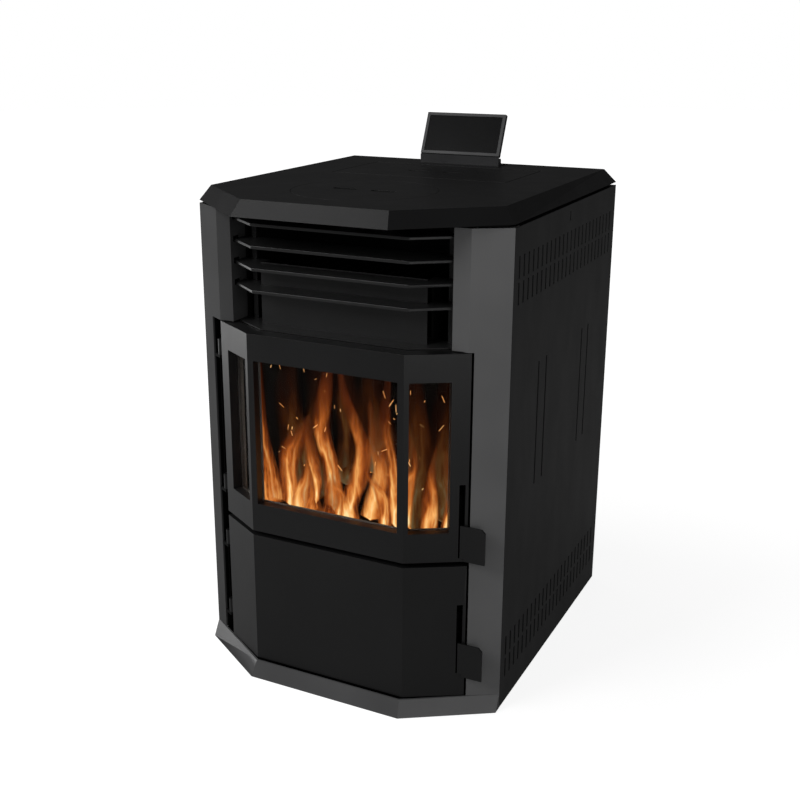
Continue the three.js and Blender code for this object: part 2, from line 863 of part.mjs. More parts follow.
// Panes sit in the pocket behind the windows and meet at the folds.
const paneNear = glassRecess + gap;
const paneFar = paneNear + glassThickness;
const paneZ = fireWindowZ - glassLap + gap;
const paneTop = fireWindowTop + glassLap - gap;

function makeMiddlePane() {
  const half = foldPoint(1, paneFar)[0] - 0.8;
  return block(-half, half, paneNear - frontReach, paneFar - frontReach, paneZ, paneTop);
}

const makeSidePane = (side) => {
  const start = paneFar * foldDraw + 0.8;
  return facetSlab(side, start, sideWindowEnd + glassLap - gap, paneNear, paneFar, paneZ, paneTop);
};

function makeGlassRetainer() {
  const end = sideWindowEnd + glassLap - gap;
  const near = paneFar + gap;
  return cut(
    frontBand(end, end, near, near + 3, paneZ, paneTop),
    ...windowCuts(near - 2, near + 5),
  );
}

// Glass rope that the door presses on the chamber's rim.
function makeSeal(z0, z1) {
  const outer = sealOffset + sealWidth / 2;
  const inner = sealOffset - sealWidth / 2;
  const near = doorThickness + gap;
  const far = doorThickness + sealDepth;
  return cut(
    frontBand(outer, outer, near, far, z0, z1),
    frontBand(inner, inner, near - 1, far + 1, z0 + sealWidth, z1 - sealWidth),
  );
}

// A folded plate: its tail runs through the door's slot, its tab stands out for the fingers.
function makeLatch(slotFoot) {
  const start = latchSlotStart + 2.5;
  const tailFoot = slotFoot + gap;
  const tabFoot = slotFoot - 4;
  const tabX = onFacet(1, start, 0)[0];
  const tabY = onFacet(1, start, 0)[1] + latchTabStep - latchPlate / 2;
  const tabEnd = latchTabEndX + widthShift;
  const bevel = 6;
  const clearX = tabX + 6.5; // past here the tab stands clear of the facet
  const tab = [
    [tailFoot, tabX],
    [tabFoot + latchTabHeight, tabX],
    [tabFoot + latchTabHeight, tabEnd - bevel],
    [tabFoot + latchTabHeight - bevel, tabEnd],
    [tabFoot, tabEnd],
    [tabFoot, clearX],
    [tailFoot, clearX],
  ];
  return join(
    prismY(tab, tabY, tabY + latchPlate),
    facetSlab(1, start, start + latchPlate, -0.5, rimDepth - gap, tailFoot, tailFoot + 48),
  );
}

// A strip on the right jamb with a catch plate behind each latch's tail.
function makeKeeper(slotFeet) {
  const near = rimDepth + gap;
  const wallAt = rightJamb - gap;
  const top = Math.max(...slotFeet) + 100;
  const foot = Math.min(...slotFeet) - 20;
  const catches = slotFeet.map((z) => facetSlab(1, rimEnd + 4, wallAt, near, near + 4, z, z + 90));
  return join(facetSlab(1, wallAt - 3, wallAt, near - 1, near + 4, foot, top), ...catches);
}

// A strip on the left jamb with two ears, each with an upright pin for one knuckle.
function makeHingePost(z, height) {
  const wallAt = leftJamb - gap;
  const near = hingePinDepth - 5;
  const feet = knuckleFeet(z, height);
  const ears = feet.map((foot) =>
    join(
      facetSlab(-1, pinAlong - 5, wallAt, near, hingePinDepth + 6, foot - 5, foot - runningGap),
      rod(pintleRadius, [pinX, pinY, foot - 3], [pinX, pinY, foot + knuckleLength - 2], 16),
    ),
  );
  return join(
    facetSlab(-1, wallAt - 3, wallAt, near + 8, jambDepth - 8, feet[0] - 14, feet[1] + 14),
    ...ears,
  );
}

// ---------------------------------------------------------------- fire chamber

// Walls around a plan that follows the doors, open at the front inside a rim.
function chamberShell(z0, z1, rimLow, rimHigh) {
  const outline = (depth, wall) => {
    const x = chamberX - wall;
    return [
      [-x, faceY(x, depth)],
      foldPoint(-1, depth),
      foldPoint(1, depth),
      [x, faceY(x, depth)],
      [x, chamberBack - wall],
      [-x, chamberBack - wall],
    ];
  };
  const mouth = sealOffset - chamberRim / 2;
  return cut(
    prism(outline(rimDepth, 0), z0, z1),
    prism(outline(rimDepth + chamberWall, chamberWall), z0 + chamberWall, z1 - chamberWall),
    frontBand(mouth, mouth, rimDepth - 1, rimDepth + chamberWall + 1, rimLow, rimHigh),
  );
}

const dropHole = (z0, z1) => {
  const half = potWidth / 2 - 12;
  return block(-half, half, potMiddleY - 30, potMiddleY + 30, z0, z1);
};

const potZ = chamberZ + chamberWall + gap;
const igniterZ = potZ + 22;

function makeFireChamber() {
  return cut(
    chamberShell(chamberZ, chamberTop, fireDoorZ + 35, fireDoorTop - 30),
    dropHole(chamberZ - 1, chamberZ + chamberWall + 1),
    block(-26, 26, chamberInnerY - 1, chamberBack + 1, chuteFoot + 4, chuteHead - 4),
    rod(igniterRadius + gap, [0, chamberInnerY - 1, igniterZ], [0, chamberBack + 1, igniterZ]),
  );
}

function makeAshChamber() {
  const floor = ashChamberZ;
  const foot = basePanTop + gap;
  const under = chamberX - chamberWall;
  const shell = chamberShell(floor, chamberZ - gap, ashDoorZ + 20, ashDoorTop - 16);
  const legs = cut(
    block(-chamberX, chamberX, 0, chamberBack, foot, floor + 1),
    block(-under, under, chamberWall, chamberInnerY, foot - 1, floor + 2),
  );
  return cut(
    join(shell, legs),
    dropHole(chamberZ - gap - chamberWall - 1, chamberZ),
    rod(intakeRadius - 2, [intakeX, chamberInnerY - 1, intakeZ], [intakeX, chamberBack + 1, intakeZ]),
    block(...ductX, chamberInnerY - 1, chamberBack + 1, fanZ - 36, fanZ + 36),
  );
}

// Ribbed plate that shields the back wall.
function makeLiner() {
  const half = linerHalf;
  const back = chamberInnerY - gap;
  const front = chamberInnerY - linerThickness;
  const pitch = (2 * half) / linerRibs;
  const low = front + linerGroove;
  const face = [];
  for (let i = 0; i < linerRibs; i++) {
    const x = -half + i * pitch;
    face.push([x, front], [x + pitch / 2, front], [x + pitch / 2, low], [x + pitch, low]);
  }
  const plate = prism([...face, [half, back], [-half, back]], linerZ, linerTop);
  return cut(
    plate,
    block(-26, 26, front - 1, back + 1, chuteFoot + 4, chuteHead - 4),
    rod(igniterRadius + gap, [0, front - 1, igniterZ], [0, back + 1, igniterZ]),
  );
}

function makeBaffle() {
  const half = chamberX - chamberWall - gap;
  return block(-half, half, 62, chamberInnerY - gap, linerTop + gap, linerTop + gap + baffleThickness);
}

// An open cup with sloping sides and air holes in its floor.
function makeBurnPot() {
  const outline = (grow) => rectangle(
    -potWidth / 2 - grow,
    potWidth / 2 + grow,
    potMiddleY - potDepth / 2 - grow,
    potMiddleY + potDepth / 2 + grow,
  );
  const top = potZ + potHeight;
  const holes = [];
  for (const x of [-20, 0, 20])
    for (const y of [-16, 0, 16])
      holes.push(rod(3, [x, potMiddleY + y, potZ - 1], [x, potMiddleY + y, potZ + potWall + 1], 6));
  return cut(
    loft(outline(-6), potZ, outline(0), top),
    loft(outline(-6 - potWall), potZ + potWall, outline(-potWall), top + 0.01),
    rod(
      igniterRadius + gap,
      [0, potMiddleY, igniterZ],
      [0, potMiddleY + potDepth, igniterZ],
    ),
    ...holes,
  );
}

const makeIgniter = () =>
  rod(igniterRadius, [0, potMiddleY + potDepth / 2 - 9, igniterZ], [0, chamberBack + 30, igniterZ], 16);

function makeAshPan() {
  const foot = ashChamberZ + chamberWall + gap;
  const top = foot + ashPanHeight;
  const x = ashPanHalf;
  const w = ashPanWall;
  const front = faceY(x, rimDepth + chamberWall) + 1;
  const back = chamberInnerY - 8;
  const grip = front - ashGripReach;
  return cut(
    join(
      block(-x, x, front, back, foot, top),
      block(-ashGripHalf, ashGripHalf, grip, front + 1, top - ashGripHeight, top),
    ),
    block(-x + w, x - w, front + w, back - w, foot + w, top + 1),
    block(-ashGripHalf + 3, ashGripHalf - 3, grip + w, front - 1, top - ashGripHeight - 1, top - w),
  );
}

// Upright fins on the fire chamber's roof warm the air that leaves by the louvres.
// A folded sheet round their sides and back leads that air forward.
function makeHeatExchanger() {
  const half = exchangerHalf;
  const pitch = (2 * half - exchangerFinWall) / (exchangerFins - 1);
  const low = fireDoorTop;
  const high = fireDoorTop + exchangerHeight;
  const outline = [[low, -half]];
  for (let i = 0; i < exchangerFins; i++) {
    const x = -half + i * pitch;
    if (i > 0) outline.push([low + 5, x]);
    outline.push([high, x], [high, x + exchangerFinWall]);
    if (i < exchangerFins - 1) outline.push([low + 5, x + exchangerFinWall]);
  }
  outline.push([low, half]);
  const x = shroudX + widthShift;
  const front = finBackY + gap;
  const back = chamberBack + sheetWall + gap;
  const inner = [x - sheetWall, back - sheetWall];
  const shroud = [
    [-x, front],
    [-inner[0], front],
    [-inner[0], inner[1]],
    [inner[0], inner[1]],
    [inner[0], front],
    [x, front],
    [x, back],
    [-x, back],
  ];
  return join(
    prismY(outline, front, chamberBack - 10),
    block(1 - x, x - 1, front + 1, chamberBack - 11, low + 0.5, low + 0.5 + sheetWall),
    prism(shroud, low, topZ - topSkin - gap),
  );
}

// ---------------------------------------------------------------- fuel feed

const slopeY = augerAxis[1];
const slopeZ = augerAxis[2];
// The chute's rear face stands square to the auger.
const chuteReach = augerTubeRadius + 2;
const chuteRear = [
  [augerTop[1] + chuteReach * slopeZ, augerTop[2] - chuteReach * slopeY],
  [augerTop[1] - chuteReach * slopeZ, augerTop[2] + chuteReach * slopeY],
];

const chuteProfile = (wall) => [
  [chamberBack + gap - wall * 0.5, chuteFoot + wall],
  [chuteRear[0][0] - wall * slopeY - wall * 0.4 * slopeZ, chuteRear[0][1] - wall * slopeZ],
  [chuteRear[1][0] - wall * slopeY, chuteRear[1][1] - wall * slopeZ - wall],
  [chuteRear[1][0] - 30, chuteRear[1][1] + 22 - wall],
  [chamberBack + 24, chuteHead + 46 - wall],
  [chamberBack + gap - wall * 0.5, chuteHead],
];

function makeFeedChute() {
  const half = chuteWidth / 2;
  const start = onAuger(-12);
  const end = onAuger(6);
  return cut(
    prismX(chuteProfile(0), -half, half),
    prismX(chuteProfile(3), -half + 3, half - 3),
    rod(augerTubeRadius - 3, start, end, 24),
  );
}

function makeAugerTube() {
  const capInner = onAuger(augerLength - 4);
  const foot = onAuger(augerLength);
  return cut(
    join(
      tube(augerTubeRadius, augerTubeRadius - augerTubeWall, onAuger(gap), onAuger(augerLength - 2), 24),
      rod(augerTubeRadius, capInner, foot, 24),
    ),
    rod(augerShaftRadius + gap, onAuger(augerLength - 8), onAuger(augerLength + 1), 16),
    block(-20, 20, neckY - 20, neckY + 20, neckZ, neckZ + 70),
  );
}

// A screw flight around a shaft, wound on Z and then laid along the tube.
function makeAugerScrew() {
  const start = 4;
  const length = augerLength - 12;
  const steps = Math.round((length / augerPitch) * 8);
  const half = 1.5;
  const points = [];
  for (let i = 0; i <= steps; i++) {
    const t = i / steps;
    const angle = (t * length * 2 * Math.PI) / augerPitch;
    for (const [r, rise] of [[5, -half], [augerScrewRadius, -half], [augerScrewRadius, half], [5, half]])
      points.push(r * Math.cos(angle), r * Math.sin(angle), start + t * (length - 4) + rise);
  }
  const faces = [];
  for (let i = 0; i < steps; i++)
    for (let k = 0; k < 4; k++) {
      const a = 4 * i + k;
      const b = 4 * i + ((k + 1) % 4);
      faces.push(a, b + 4, b, a, a + 4, b + 4);
    }
  const last = 4 * steps;
  faces.push(0, 1, 2, 0, 2, 3, last, last + 2, last + 1, last, last + 3, last + 2);
  const geometry = new THREE.BufferGeometry();
  geometry.setAttribute("position", new THREE.Float32BufferAttribute(points, 3));
  geometry.setIndex(faces);
  const turn = new THREE.Quaternion().setFromUnitVectors(
    new THREE.Vector3(0, 0, 1),
    new THREE.Vector3(...augerAxis),
  );
  geometry.applyQuaternion(turn).translate(...augerTop);
  return join(
    toSolid(geometry),
    rod(augerShaftRadius, onAuger(1), onAuger(augerLength + 14), 16),
  );
}

function makeAugerMotor() {
  const from = augerLength + gap;
  return cut(
    join(
      rod(29, onAuger(from), onAuger(from + 24), 20),
      rod(21, onAuger(from + 23), onAuger(from + gearMotorLength), 20),
    ),
    rod(augerShaftRadius + gap, onAuger(from - 1), onAuger(augerLength + 15), 16),
  );
}

const hopperX = hopperLidWidth / 2 - hopperMouthInset;
const hopperFront = Math.max(lidFront + hopperMouthInset, chamberBack + 8);
const hopperBack = lidPinY - 12;
const hopperTop = topZ - hopperLidThickness - gap;
const hopperWaist = 600;
const hopperNeckZ = neckZ + 90;

function makeHopper() {
  const half = hopperNeckWidth / 2;
  const mouth = (wall) => rectangle(-hopperX + wall, hopperX - wall, hopperFront + wall, hopperBack - wall);
  const neck = (wall) => rectangle(-half + wall, half - wall, neckY - half + wall, neckY + half - wall);
  const w = hopperWall;
  const flange = prism(mouth(-5), hopperTop - w, hopperTop);
  return cut(
    join(
      flange,
      prism(mouth(0), hopperWaist, hopperTop),
      loft(neck(0), hopperNeckZ, mouth(0), hopperWaist),
      prism(neck(0), neckZ, hopperNeckZ),
    ),
    prism(mouth(w), hopperWaist, hopperTop + 1),
    loft(neck(w), hopperNeckZ, mouth(w), hopperWaist),
    prism(neck(w), neckZ - 1, hopperNeckZ),
    rod(augerTubeRadius + gap, onAuger(-20), onAuger(augerLength + 20), 24),
  );
}

// Bars across the hopper's mouth keep fingers from the screw.
function makeHopperGrille() {
  const x = hopperX - hopperWall - gap;
  const y0 = hopperFront + hopperWall + gap;
  const y1 = hopperBack - hopperWall - gap;
  const bars = 9;
  const [z0, z1] = [hopperTop - 34, hopperTop - 31];
  const holes = [];
  const pitch = (2 * x - 6) / bars;
  for (let i = 0; i < bars; i++) {
    const left = -x + 6 + i * pitch;
    holes.push(block(left, left + pitch - 6, y0 + 6, y1 - 6, z0 - 1, z1 + 1));
  }
  return cut(block(-x, x, y0, y1, z0, z1), ...holes);
}

// ---------------------------------------------------------------- air

const fanY = backInnerY - fanSetback;
const fanLeft = fanX - fanLength / 2;
const fanRight = fanX + fanLength / 2;

function makeFanHousing() {
  return cut(
    rod(fanRadius, [fanLeft, fanY, fanZ], [fanRight, fanY, fanZ], 28),
    rod(fanRadius - fanWall, [fanLeft + fanWall, fanY, fanZ], [fanRight - fanWall, fanY, fanZ], 28),
    rod(fanEyeRadius, [fanRight - fanWall - 1, fanY, fanZ], [fanRight + 1, fanY, fanZ], 24),
    rod(fanShaftRadius + gap, [fanLeft - 1, fanY, fanZ], [fanLeft + fanWall + 1, fanY, fanZ], 16),
    rod(flueRadius - flueWall, [fanX, fanY, fanZ], [fanX, fanY + fanRadius + 1, fanZ], 32),
  );
}

// A rotor turning on X: two end rings or discs joined by blades, on a shaft.
function rotor({ x0, x1, y, z, radius, inner, blades, disc: discWidth, bothEnds, shaftRadius, shaft }) {
  const parts = [rod(radius, [x0, y, z], [x0 + discWidth, y, z], 16)];
  if (bothEnds) parts.push(rod(radius, [x1 - discWidth, y, z], [x1, y, z], 16));
  for (let i = 0; i < blades; i++) {
    const angle = (2 * Math.PI * i) / blades;
    const [c, s] = [Math.cos(angle), Math.sin(angle)];
    const at = (r, t) => [y + r * c - t * s, z + r * s + t * c];
    const outer = radius - 0.6;
    parts.push(prismX([at(inner, -1), at(outer, -1), at(outer, 1), at(inner, 1)], x0 + 1, x1 - 1));
  }
  parts.push(rod(shaftRadius, [shaft[0], y, z], [shaft[1], y, z], 16));
  return join(...parts);
}

const makeFanRotor = () =>
  rotor({
    x0: fanLeft + fanWall + 6,
    x1: fanRight - fanWall - 8,
    y: fanY,
    z: fanZ,
    radius: fanRadius - fanWall - 9,
    inner: 26,
    blades: 10,
    disc: 3,
    bothEnds: false,
    shaftRadius: fanShaftRadius,
    shaft: [fanLeft - 20, fanLeft + fanWall + 20],
  });

function makeFanMotor() {
  return cut(
    join(
      rod(34, [fanLeft - 44, fanY, fanZ], [fanLeft - gap, fanY, fanZ], 24),
      rod(10, [fanLeft - 52, fanY, fanZ], [fanLeft - 43, fanY, fanZ], 16),
    ),
    rod(fanShaftRadius + gap, [fanLeft - 21, fanY, fanZ], [fanLeft + 1, fanY, fanZ], 16),
  );
}

// Brings the smoke from the ash chamber to the eye of the fan.
function makeExhaustDuct() {
  const [x0, x1] = ductX;
  const y0 = chamberBack + gap;
  const y1 = fanY + fanEyeRadius + 14;
  const [z0, z1] = [fanZ - 40, fanZ + 40];
  const w = sheetWall;
  return cut(
    block(x0 - w, x1 + w, y0, y1, z0, z1),
    block(x0, x1, y0 - 1, y1 - w, z0 + w, z1 - w),
    rod(fanEyeRadius, [x0 - w - 1, fanY, fanZ], [x0 + 1, fanY, fanZ], 24),
  );
}

function makeFlueOutlet() {
  return cut(
    tube(flueRadius, flueRadius - flueWall, [fanX, fanY, fanZ], [fanX, rearY, fanZ], 32),
    rod(fanRadius + gap, [fanLeft - 1, fanY, fanZ], [fanRight + 1, fanY, fanZ], 32),
  );
}

const makeAirIntake = () =>
  tube(
    intakeRadius,
    intakeRadius - flueWall,
    [intakeX, chamberBack + gap, intakeZ],
    [intakeX, bodyDepth + intakeReach, intakeZ],
    32,
  );

const blowerY = backInnerY - 46;
const blowerLeft = blowerX - blowerLength / 2;
const blowerRight = blowerX + blowerLength / 2;

// A scroll for a drum rotor, on two feet that stand on the base pan.
function makeBlowerHousing() {
  const bore = blowerRotorRadius + 4;
  const size = bore + 4;
  const w = fanWall;
  const foot = (x0) =>
    block(x0, x0 + w, blowerY - 30, blowerY + 30, basePanTop + gap, blowerZ - size + 1);
  return cut(
    join(
      block(blowerLeft, blowerRight, blowerY - size, blowerY + size, blowerZ - size, blowerZ + size),
      foot(blowerLeft),
      foot(blowerRight - w),
    ),
    rod(bore, [blowerLeft + w, blowerY, blowerZ], [blowerRight - w, blowerY, blowerZ], 28),
    block(blowerLeft + w, blowerRight - w, blowerY + 8, blowerY + size + 1, blowerZ - 24, blowerZ + 24),
    block(blowerLeft + w, blowerRight - w, blowerY - 26, blowerY - 4, blowerZ, blowerZ + size + 1),
    rod(
      blowerShaftRadius + gap,
      [blowerLeft - 1, blowerY, blowerZ],
      [blowerRight + 1, blowerY, blowerZ],
      16,
    ),
  );
}

const makeBlowerRotor = () =>
  rotor({
    x0: blowerLeft + fanWall + 3,
    x1: blowerRight - fanWall - 3,
    y: blowerY,
    z: blowerZ,
    radius: blowerRotorRadius,
    inner: blowerRotorRadius - 8,
    blades: 12,
    disc: 2,
    bothEnds: true,
    shaftRadius: blowerShaftRadius,
    shaft: [blowerLeft + 0.5, blowerRight + 16],
  });

function makeBlowerMotor() {
  return cut(
    rod(26, [blowerRight + gap, blowerY, blowerZ], [blowerRight + 42, blowerY, blowerZ], 24),
    rod(
      blowerShaftRadius + gap,
      [blowerRight, blowerY, blowerZ],
      [blowerRight + 17, blowerY, blowerZ],
      16,
    ),
  );
}

// ---------------------------------------------------------------- electrics

function makeControlBoard() {
  const x = panelInnerX - gap;
  return join(
    block(x - 3, x, 300, 400, 400, 560),
    block(x - 24, x - 2, 310, 390, 410, 550),
  );
}

function makePowerInlet() {
  const plateY = backInnerY + sheetWall + gap;
  const [halfX, halfZ] = [powerHalfX - gap, powerHalfZ - gap];
  const [lipX, lipZ] = [powerHalfX + powerLip, powerHalfZ + powerLip];
  return cut(
    join(
      block(powerX - lipX, powerX + lipX, plateY, plateY + powerLip, powerZ - lipZ, powerZ + lipZ),
      block(powerX - halfX, powerX + halfX, plateY - 26, plateY + 1, powerZ - halfZ, powerZ + halfZ),
    ),
    block(powerX - 30, powerX, plateY - 18, plateY + powerLip + 1, powerZ - 11, powerZ + 11),
    block(powerX + 8, powerX + 30, plateY - 14, plateY + powerLip + 1, powerZ - 8, powerZ + 8),
  );
}

// The rocker shows two faces that meet at an angle over its pivot.
const rockerLean = 8;
function makeRocker() {
  const plateY = backInnerY + sheetWall + gap;
  const lean = Math.tan(THREE.MathUtils.degToRad(rockerLean));
  const half = 7;
  const profile = [
    [-9, -half],
    [0, -half],
    [2 * lean * half, half],
    [-9, half],
  ];
  const shaped = profile.map(([depth, along]) => [plateY + 3 + depth, powerZ + along * 0.75]);
  const pivot = plateY - 4;
  return join(
    prismX(shaped.reverse(), powerX + 11.4, powerX + 26.6),
    rod(1.5, [powerX + 8.4, pivot, powerZ], [powerX + 29.6, pivot, powerZ], 12),
  );
}

// ---------------------------------------------------------------- display

const displayY = bodyDepth - displaySetback;
const displayPivotY = displayY + 8.5;
const displayPivotZ = topZ + 9;
// Lower front corner of the panel, from its pivot: it stands just over the base's front edge.
const displayLean = THREE.MathUtils.degToRad(displayTilt);
const cornerY = displayY + gap - displayPivotY;
const cornerZ = topZ + displayBaseHeight + 1.2 - displayPivotZ;
const displayFront = cornerY * Math.cos(displayLean) - cornerZ * Math.sin(displayLean);
const displayLow = cornerY * Math.sin(displayLean) + cornerZ * Math.cos(displayLean);
const screenRecess = 2.5;

function makeDisplayBase() {
  const [x0, x1] = [displayX - displayWidth / 2, displayX + displayWidth / 2];
  const back = displayY + displayBaseDepth;
  const w = displayBaseWall;
  const r = displayBarrel;
  const ear = (a, b) =>
    join(
      block(a, b, displayPivotY - r, displayPivotY + r, topZ + 1, displayPivotZ),
      rod(r, [a, displayPivotY, displayPivotZ], [b, displayPivotY, displayPivotZ], 20),
    );
  return cut(
    join(
      block(x0, x1, displayY, back, topZ, topZ + w),
      block(x0, x1, displayY, displayY + w, topZ, topZ + displayBaseHeight),
      ear(x0, x0 + displayEar),
      ear(x1 - displayEar, x1),
    ),
    rod(
      displayPinRadius + gap,
      [x0 - 1, displayPivotY, displayPivotZ],
      [x1 + 1, displayPivotY, displayPivotZ],
      12,
    ),
  );
}

const makeDisplayPin = () => {
  const reach = displayWidth / 2 - 0.5;
  const end = (side) => [displayX + side * reach, displayPivotY, displayPivotZ];
  return rod(displayPinRadius, end(-1), end(1), 12);
};

// The panel is drawn upright about its pivot, then leans back with its group.
function makeDisplayHousing() {
  const half = displayWidth / 2;
  const high = displayLow + displayHeight;
  const back = displayFront + displayThickness;
  const inner = half - displayBezel;
  const between = half - displayEar - 0.8;
  return cut(
    join(
      block(-half, half, displayFront, back, displayLow, high),
      block(-between, between, back - 3, 2, 0, displayLow + 4),
      rod(displayBarrel, [-between, 0, 0], [between, 0, 0], 20),
    ),
    block(
      -inner,
      inner,
      displayFront - 1,
      displayFront + screenRecess,
      displayLow + displayBezel,
      high - displayBezel,
    ),
    rod(displayPinRadius + gap, [-half, 0, 0], [half, 0, 0], 12),
  );
}

function makeDisplayScreen() {
  const inner = displayWidth / 2 - displayBezel - gap;
  const low = displayLow + displayBezel + gap;
  const high = displayLow + displayHeight - displayBezel - gap;
  return block(-inner, inner, displayFront + 0.8, displayFront + screenRecess - gap, low, high);
}

// ---------------------------------------------------------------- all pieces

piece("top_plate", makeTopPlate(), blackPaint);
piece("top_frame", makeTopFrame(), darkSteel);
piece("round_lid", makeRoundLid(), blackPaint);
piece("hopper_lid", makeHopperLid(), blackPaint);
piece("hopper_lid_pin", makeLidPin(), zincSteel);
piece("side_panel_right", makeSidePanel(1), blackPaint);
piece("side_panel_left", makeSidePanel(-1), blackPaint);
piece("back_panel", makeBackPanel(), blackPaint);
piece("pillar_right", makePillar(1, jambRight), frontPaint);
piece("pillar_left", makePillar(-1, jambLeft), frontPaint);
piece("plinth_skirt", makePlinthSkirt(), frontPaint);
piece("base_pan", makeBasePan(), darkSteel);

finLevels.forEach((z, i) => piece(`louvre_fin_${i + 1}`, makeFin(z), frontPaint));
piece("inner_front_panel", makeInnerFrontPanel(), blackPaint);

const fireSlot = fireDoorZ + fireSlotRise;
const ashSlot = ashDoorZ + ashSlotRise;
piece("fire_door", makeFireDoor(), doorPaint);
piece("door_glass_middle", makeMiddlePane(), glassFinish);
piece("door_glass_right", makeSidePane(1), glassFinish);
piece("door_glass_left", makeSidePane(-1), glassFinish);
piece("glass_retainer", makeGlassRetainer(), darkSteel);
piece("fire_door_rope", makeSeal(fireDoorZ + 26, fireDoorTop - 21), ropeFinish);
piece("fire_door_latch", makeLatch(fireSlot), doorPaint);
piece("latch_keeper", makeKeeper([fireSlot, ashSlot]), darkSteel);
piece("ash_door", makeAshDoor(), doorPaint);
piece("ash_door_rope", makeSeal(ashDoorZ + 11, ashDoorTop - 8), ropeFinish);
piece("ash_door_latch", makeLatch(ashSlot), doorPaint);
piece("fire_door_hinge", makeHingePost(fireDoorZ, fireDoorHeight), darkSteel);
piece("ash_door_hinge", makeHingePost(ashDoorZ, ashDoorHeight), darkSteel);

piece("fire_chamber", makeFireChamber(), darkSteel);
piece("chamber_liner", makeLiner(), castIron);
piece("baffle_plate", makeBaffle(), castIron);
piece("burn_pot", makeBurnPot(), castIron);
piece("igniter", makeIgniter(), zincSteel);
piece("ash_chamber", makeAshChamber(), darkSteel);
piece("ash_pan", makeAshPan(), zincSteel);
piece("heat_exchanger", makeHeatExchanger(), darkSteel);

piece("hopper", makeHopper(), zincSteel);
piece("hopper_grille", makeHopperGrille(), zincSteel);
piece("feed_chute", makeFeedChute(), zincSteel);
piece("auger_tube", makeAugerTube(), zincSteel);
piece("auger_screw", makeAugerScrew(), zincSteel);
piece("auger_motor", makeAugerMotor(), blackPlastic);

piece("fan_housing", makeFanHousing(), zincSteel);
piece("fan_rotor", makeFanRotor(), zincSteel);
piece("fan_motor", makeFanMotor(), blackPlastic);
piece("exhaust_duct", makeExhaustDuct(), zincSteel);
piece("flue_outlet", makeFlueOutlet(), zincSteel);
piece("air_intake", makeAirIntake(), zincSteel);
piece("blower_housing", makeBlowerHousing(), zincSteel);
piece("blower_rotor", makeBlowerRotor(), zincSteel);
piece("blower_motor", makeBlowerMotor(), blackPlastic);

piece("control_board", makeControlBoard(), blackPlastic);
piece("power_inlet", makePowerInlet(), blackPlastic);
piece("rocker_switch", makeRocker(), rubberFinish);

piece("display_base", makeDisplayBase(), blackPlastic);
piece("display_pin", makeDisplayPin(), zincSteel);
const displayPanel = new THREE.Group();
displayPanel.position.set(displayX, displayPivotY, displayPivotZ);
displayPanel.rotation.x = -displayLean;
casing.add(displayPanel);
piece("display_housing", makeDisplayHousing(), blackPlastic, displayPanel);
piece("display_screen", makeDisplayScreen(), screenFinish, displayPanel);

const stove = new THREE.Group();
stove.add(casing);
export default stove;
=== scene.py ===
# %% [markdown]
# # A pellet stove, finished around its frame
#
# The real object is a folded-steel room heater: a faceted front with two doors, warm-air
# louvres over them, and a flat lidded top that carries a small tilting display.
# Its solid parts already exist as a frame of separate bodies, one for each thing that moves.
# One could model the whole stove again as a single mesh, but then no door would open.
# So this notebook keeps the frame, softens its edges, gives every surface a finish, and adds
# what a solid model leaves out: fire, embers, braided rope, screws and glass that shines.

# %% Load the frame
import json
import math

import bmesh
import bpy
import numpy as np
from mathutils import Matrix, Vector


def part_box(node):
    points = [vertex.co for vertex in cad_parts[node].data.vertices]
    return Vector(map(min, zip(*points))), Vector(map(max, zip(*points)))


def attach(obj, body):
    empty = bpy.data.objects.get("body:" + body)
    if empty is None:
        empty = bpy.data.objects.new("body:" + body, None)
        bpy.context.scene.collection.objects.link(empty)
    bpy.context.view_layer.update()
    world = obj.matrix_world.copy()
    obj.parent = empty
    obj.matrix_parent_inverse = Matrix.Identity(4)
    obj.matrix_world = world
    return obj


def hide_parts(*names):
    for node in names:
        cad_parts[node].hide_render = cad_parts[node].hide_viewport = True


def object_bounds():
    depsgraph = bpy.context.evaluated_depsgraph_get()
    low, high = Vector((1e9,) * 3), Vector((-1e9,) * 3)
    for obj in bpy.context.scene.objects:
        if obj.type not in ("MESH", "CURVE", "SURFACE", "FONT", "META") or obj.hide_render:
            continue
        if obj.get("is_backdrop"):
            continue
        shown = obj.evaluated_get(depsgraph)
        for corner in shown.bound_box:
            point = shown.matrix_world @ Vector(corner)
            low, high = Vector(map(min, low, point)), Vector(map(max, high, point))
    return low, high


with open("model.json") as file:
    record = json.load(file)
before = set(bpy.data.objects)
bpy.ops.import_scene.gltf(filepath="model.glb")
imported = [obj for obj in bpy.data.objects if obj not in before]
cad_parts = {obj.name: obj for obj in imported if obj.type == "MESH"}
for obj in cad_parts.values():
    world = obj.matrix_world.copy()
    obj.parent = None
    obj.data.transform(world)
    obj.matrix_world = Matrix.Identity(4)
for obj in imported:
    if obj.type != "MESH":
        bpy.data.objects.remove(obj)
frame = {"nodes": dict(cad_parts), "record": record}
cad_low, cad_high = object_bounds()
nodes = frame["nodes"]
scene = bpy.context.scene
TAU = 2 * math.pi
MM = 0.001

# %% [markdown]
# ## The camera
#
# The photograph looks down at the stove from its right, over a fairly long lens.
# A camera can be placed by eye, or worked out from edges whose true directions are known.
# The upright edges and the two doors' edges were used, so the numbers below are a solved
# position, and the small shift is the frame's offset from the lens's axis.

# %% Camera at the photograph's viewing angle
EYE = (0.81075, -1.71474, 1.04018)
TURN, DIP = math.radians(26.77), math.radians(17.26)
lens = bpy.data.cameras.new("stove_view")
lens.lens, lens.sensor_width = 51.15, 36.0
lens.shift_x, lens.shift_y = 0.0243, -0.0252
camera = bpy.data.objects.new("stove_view", lens)
camera.location = EYE
camera.rotation_euler = (math.pi / 2 - DIP, 0.0, TURN)
scene.collection.objects.link(camera)
scene.camera = camera
print("camera stands", round(math.dist(EYE, (0, 0, 0.45)), 2), "m from the stove")

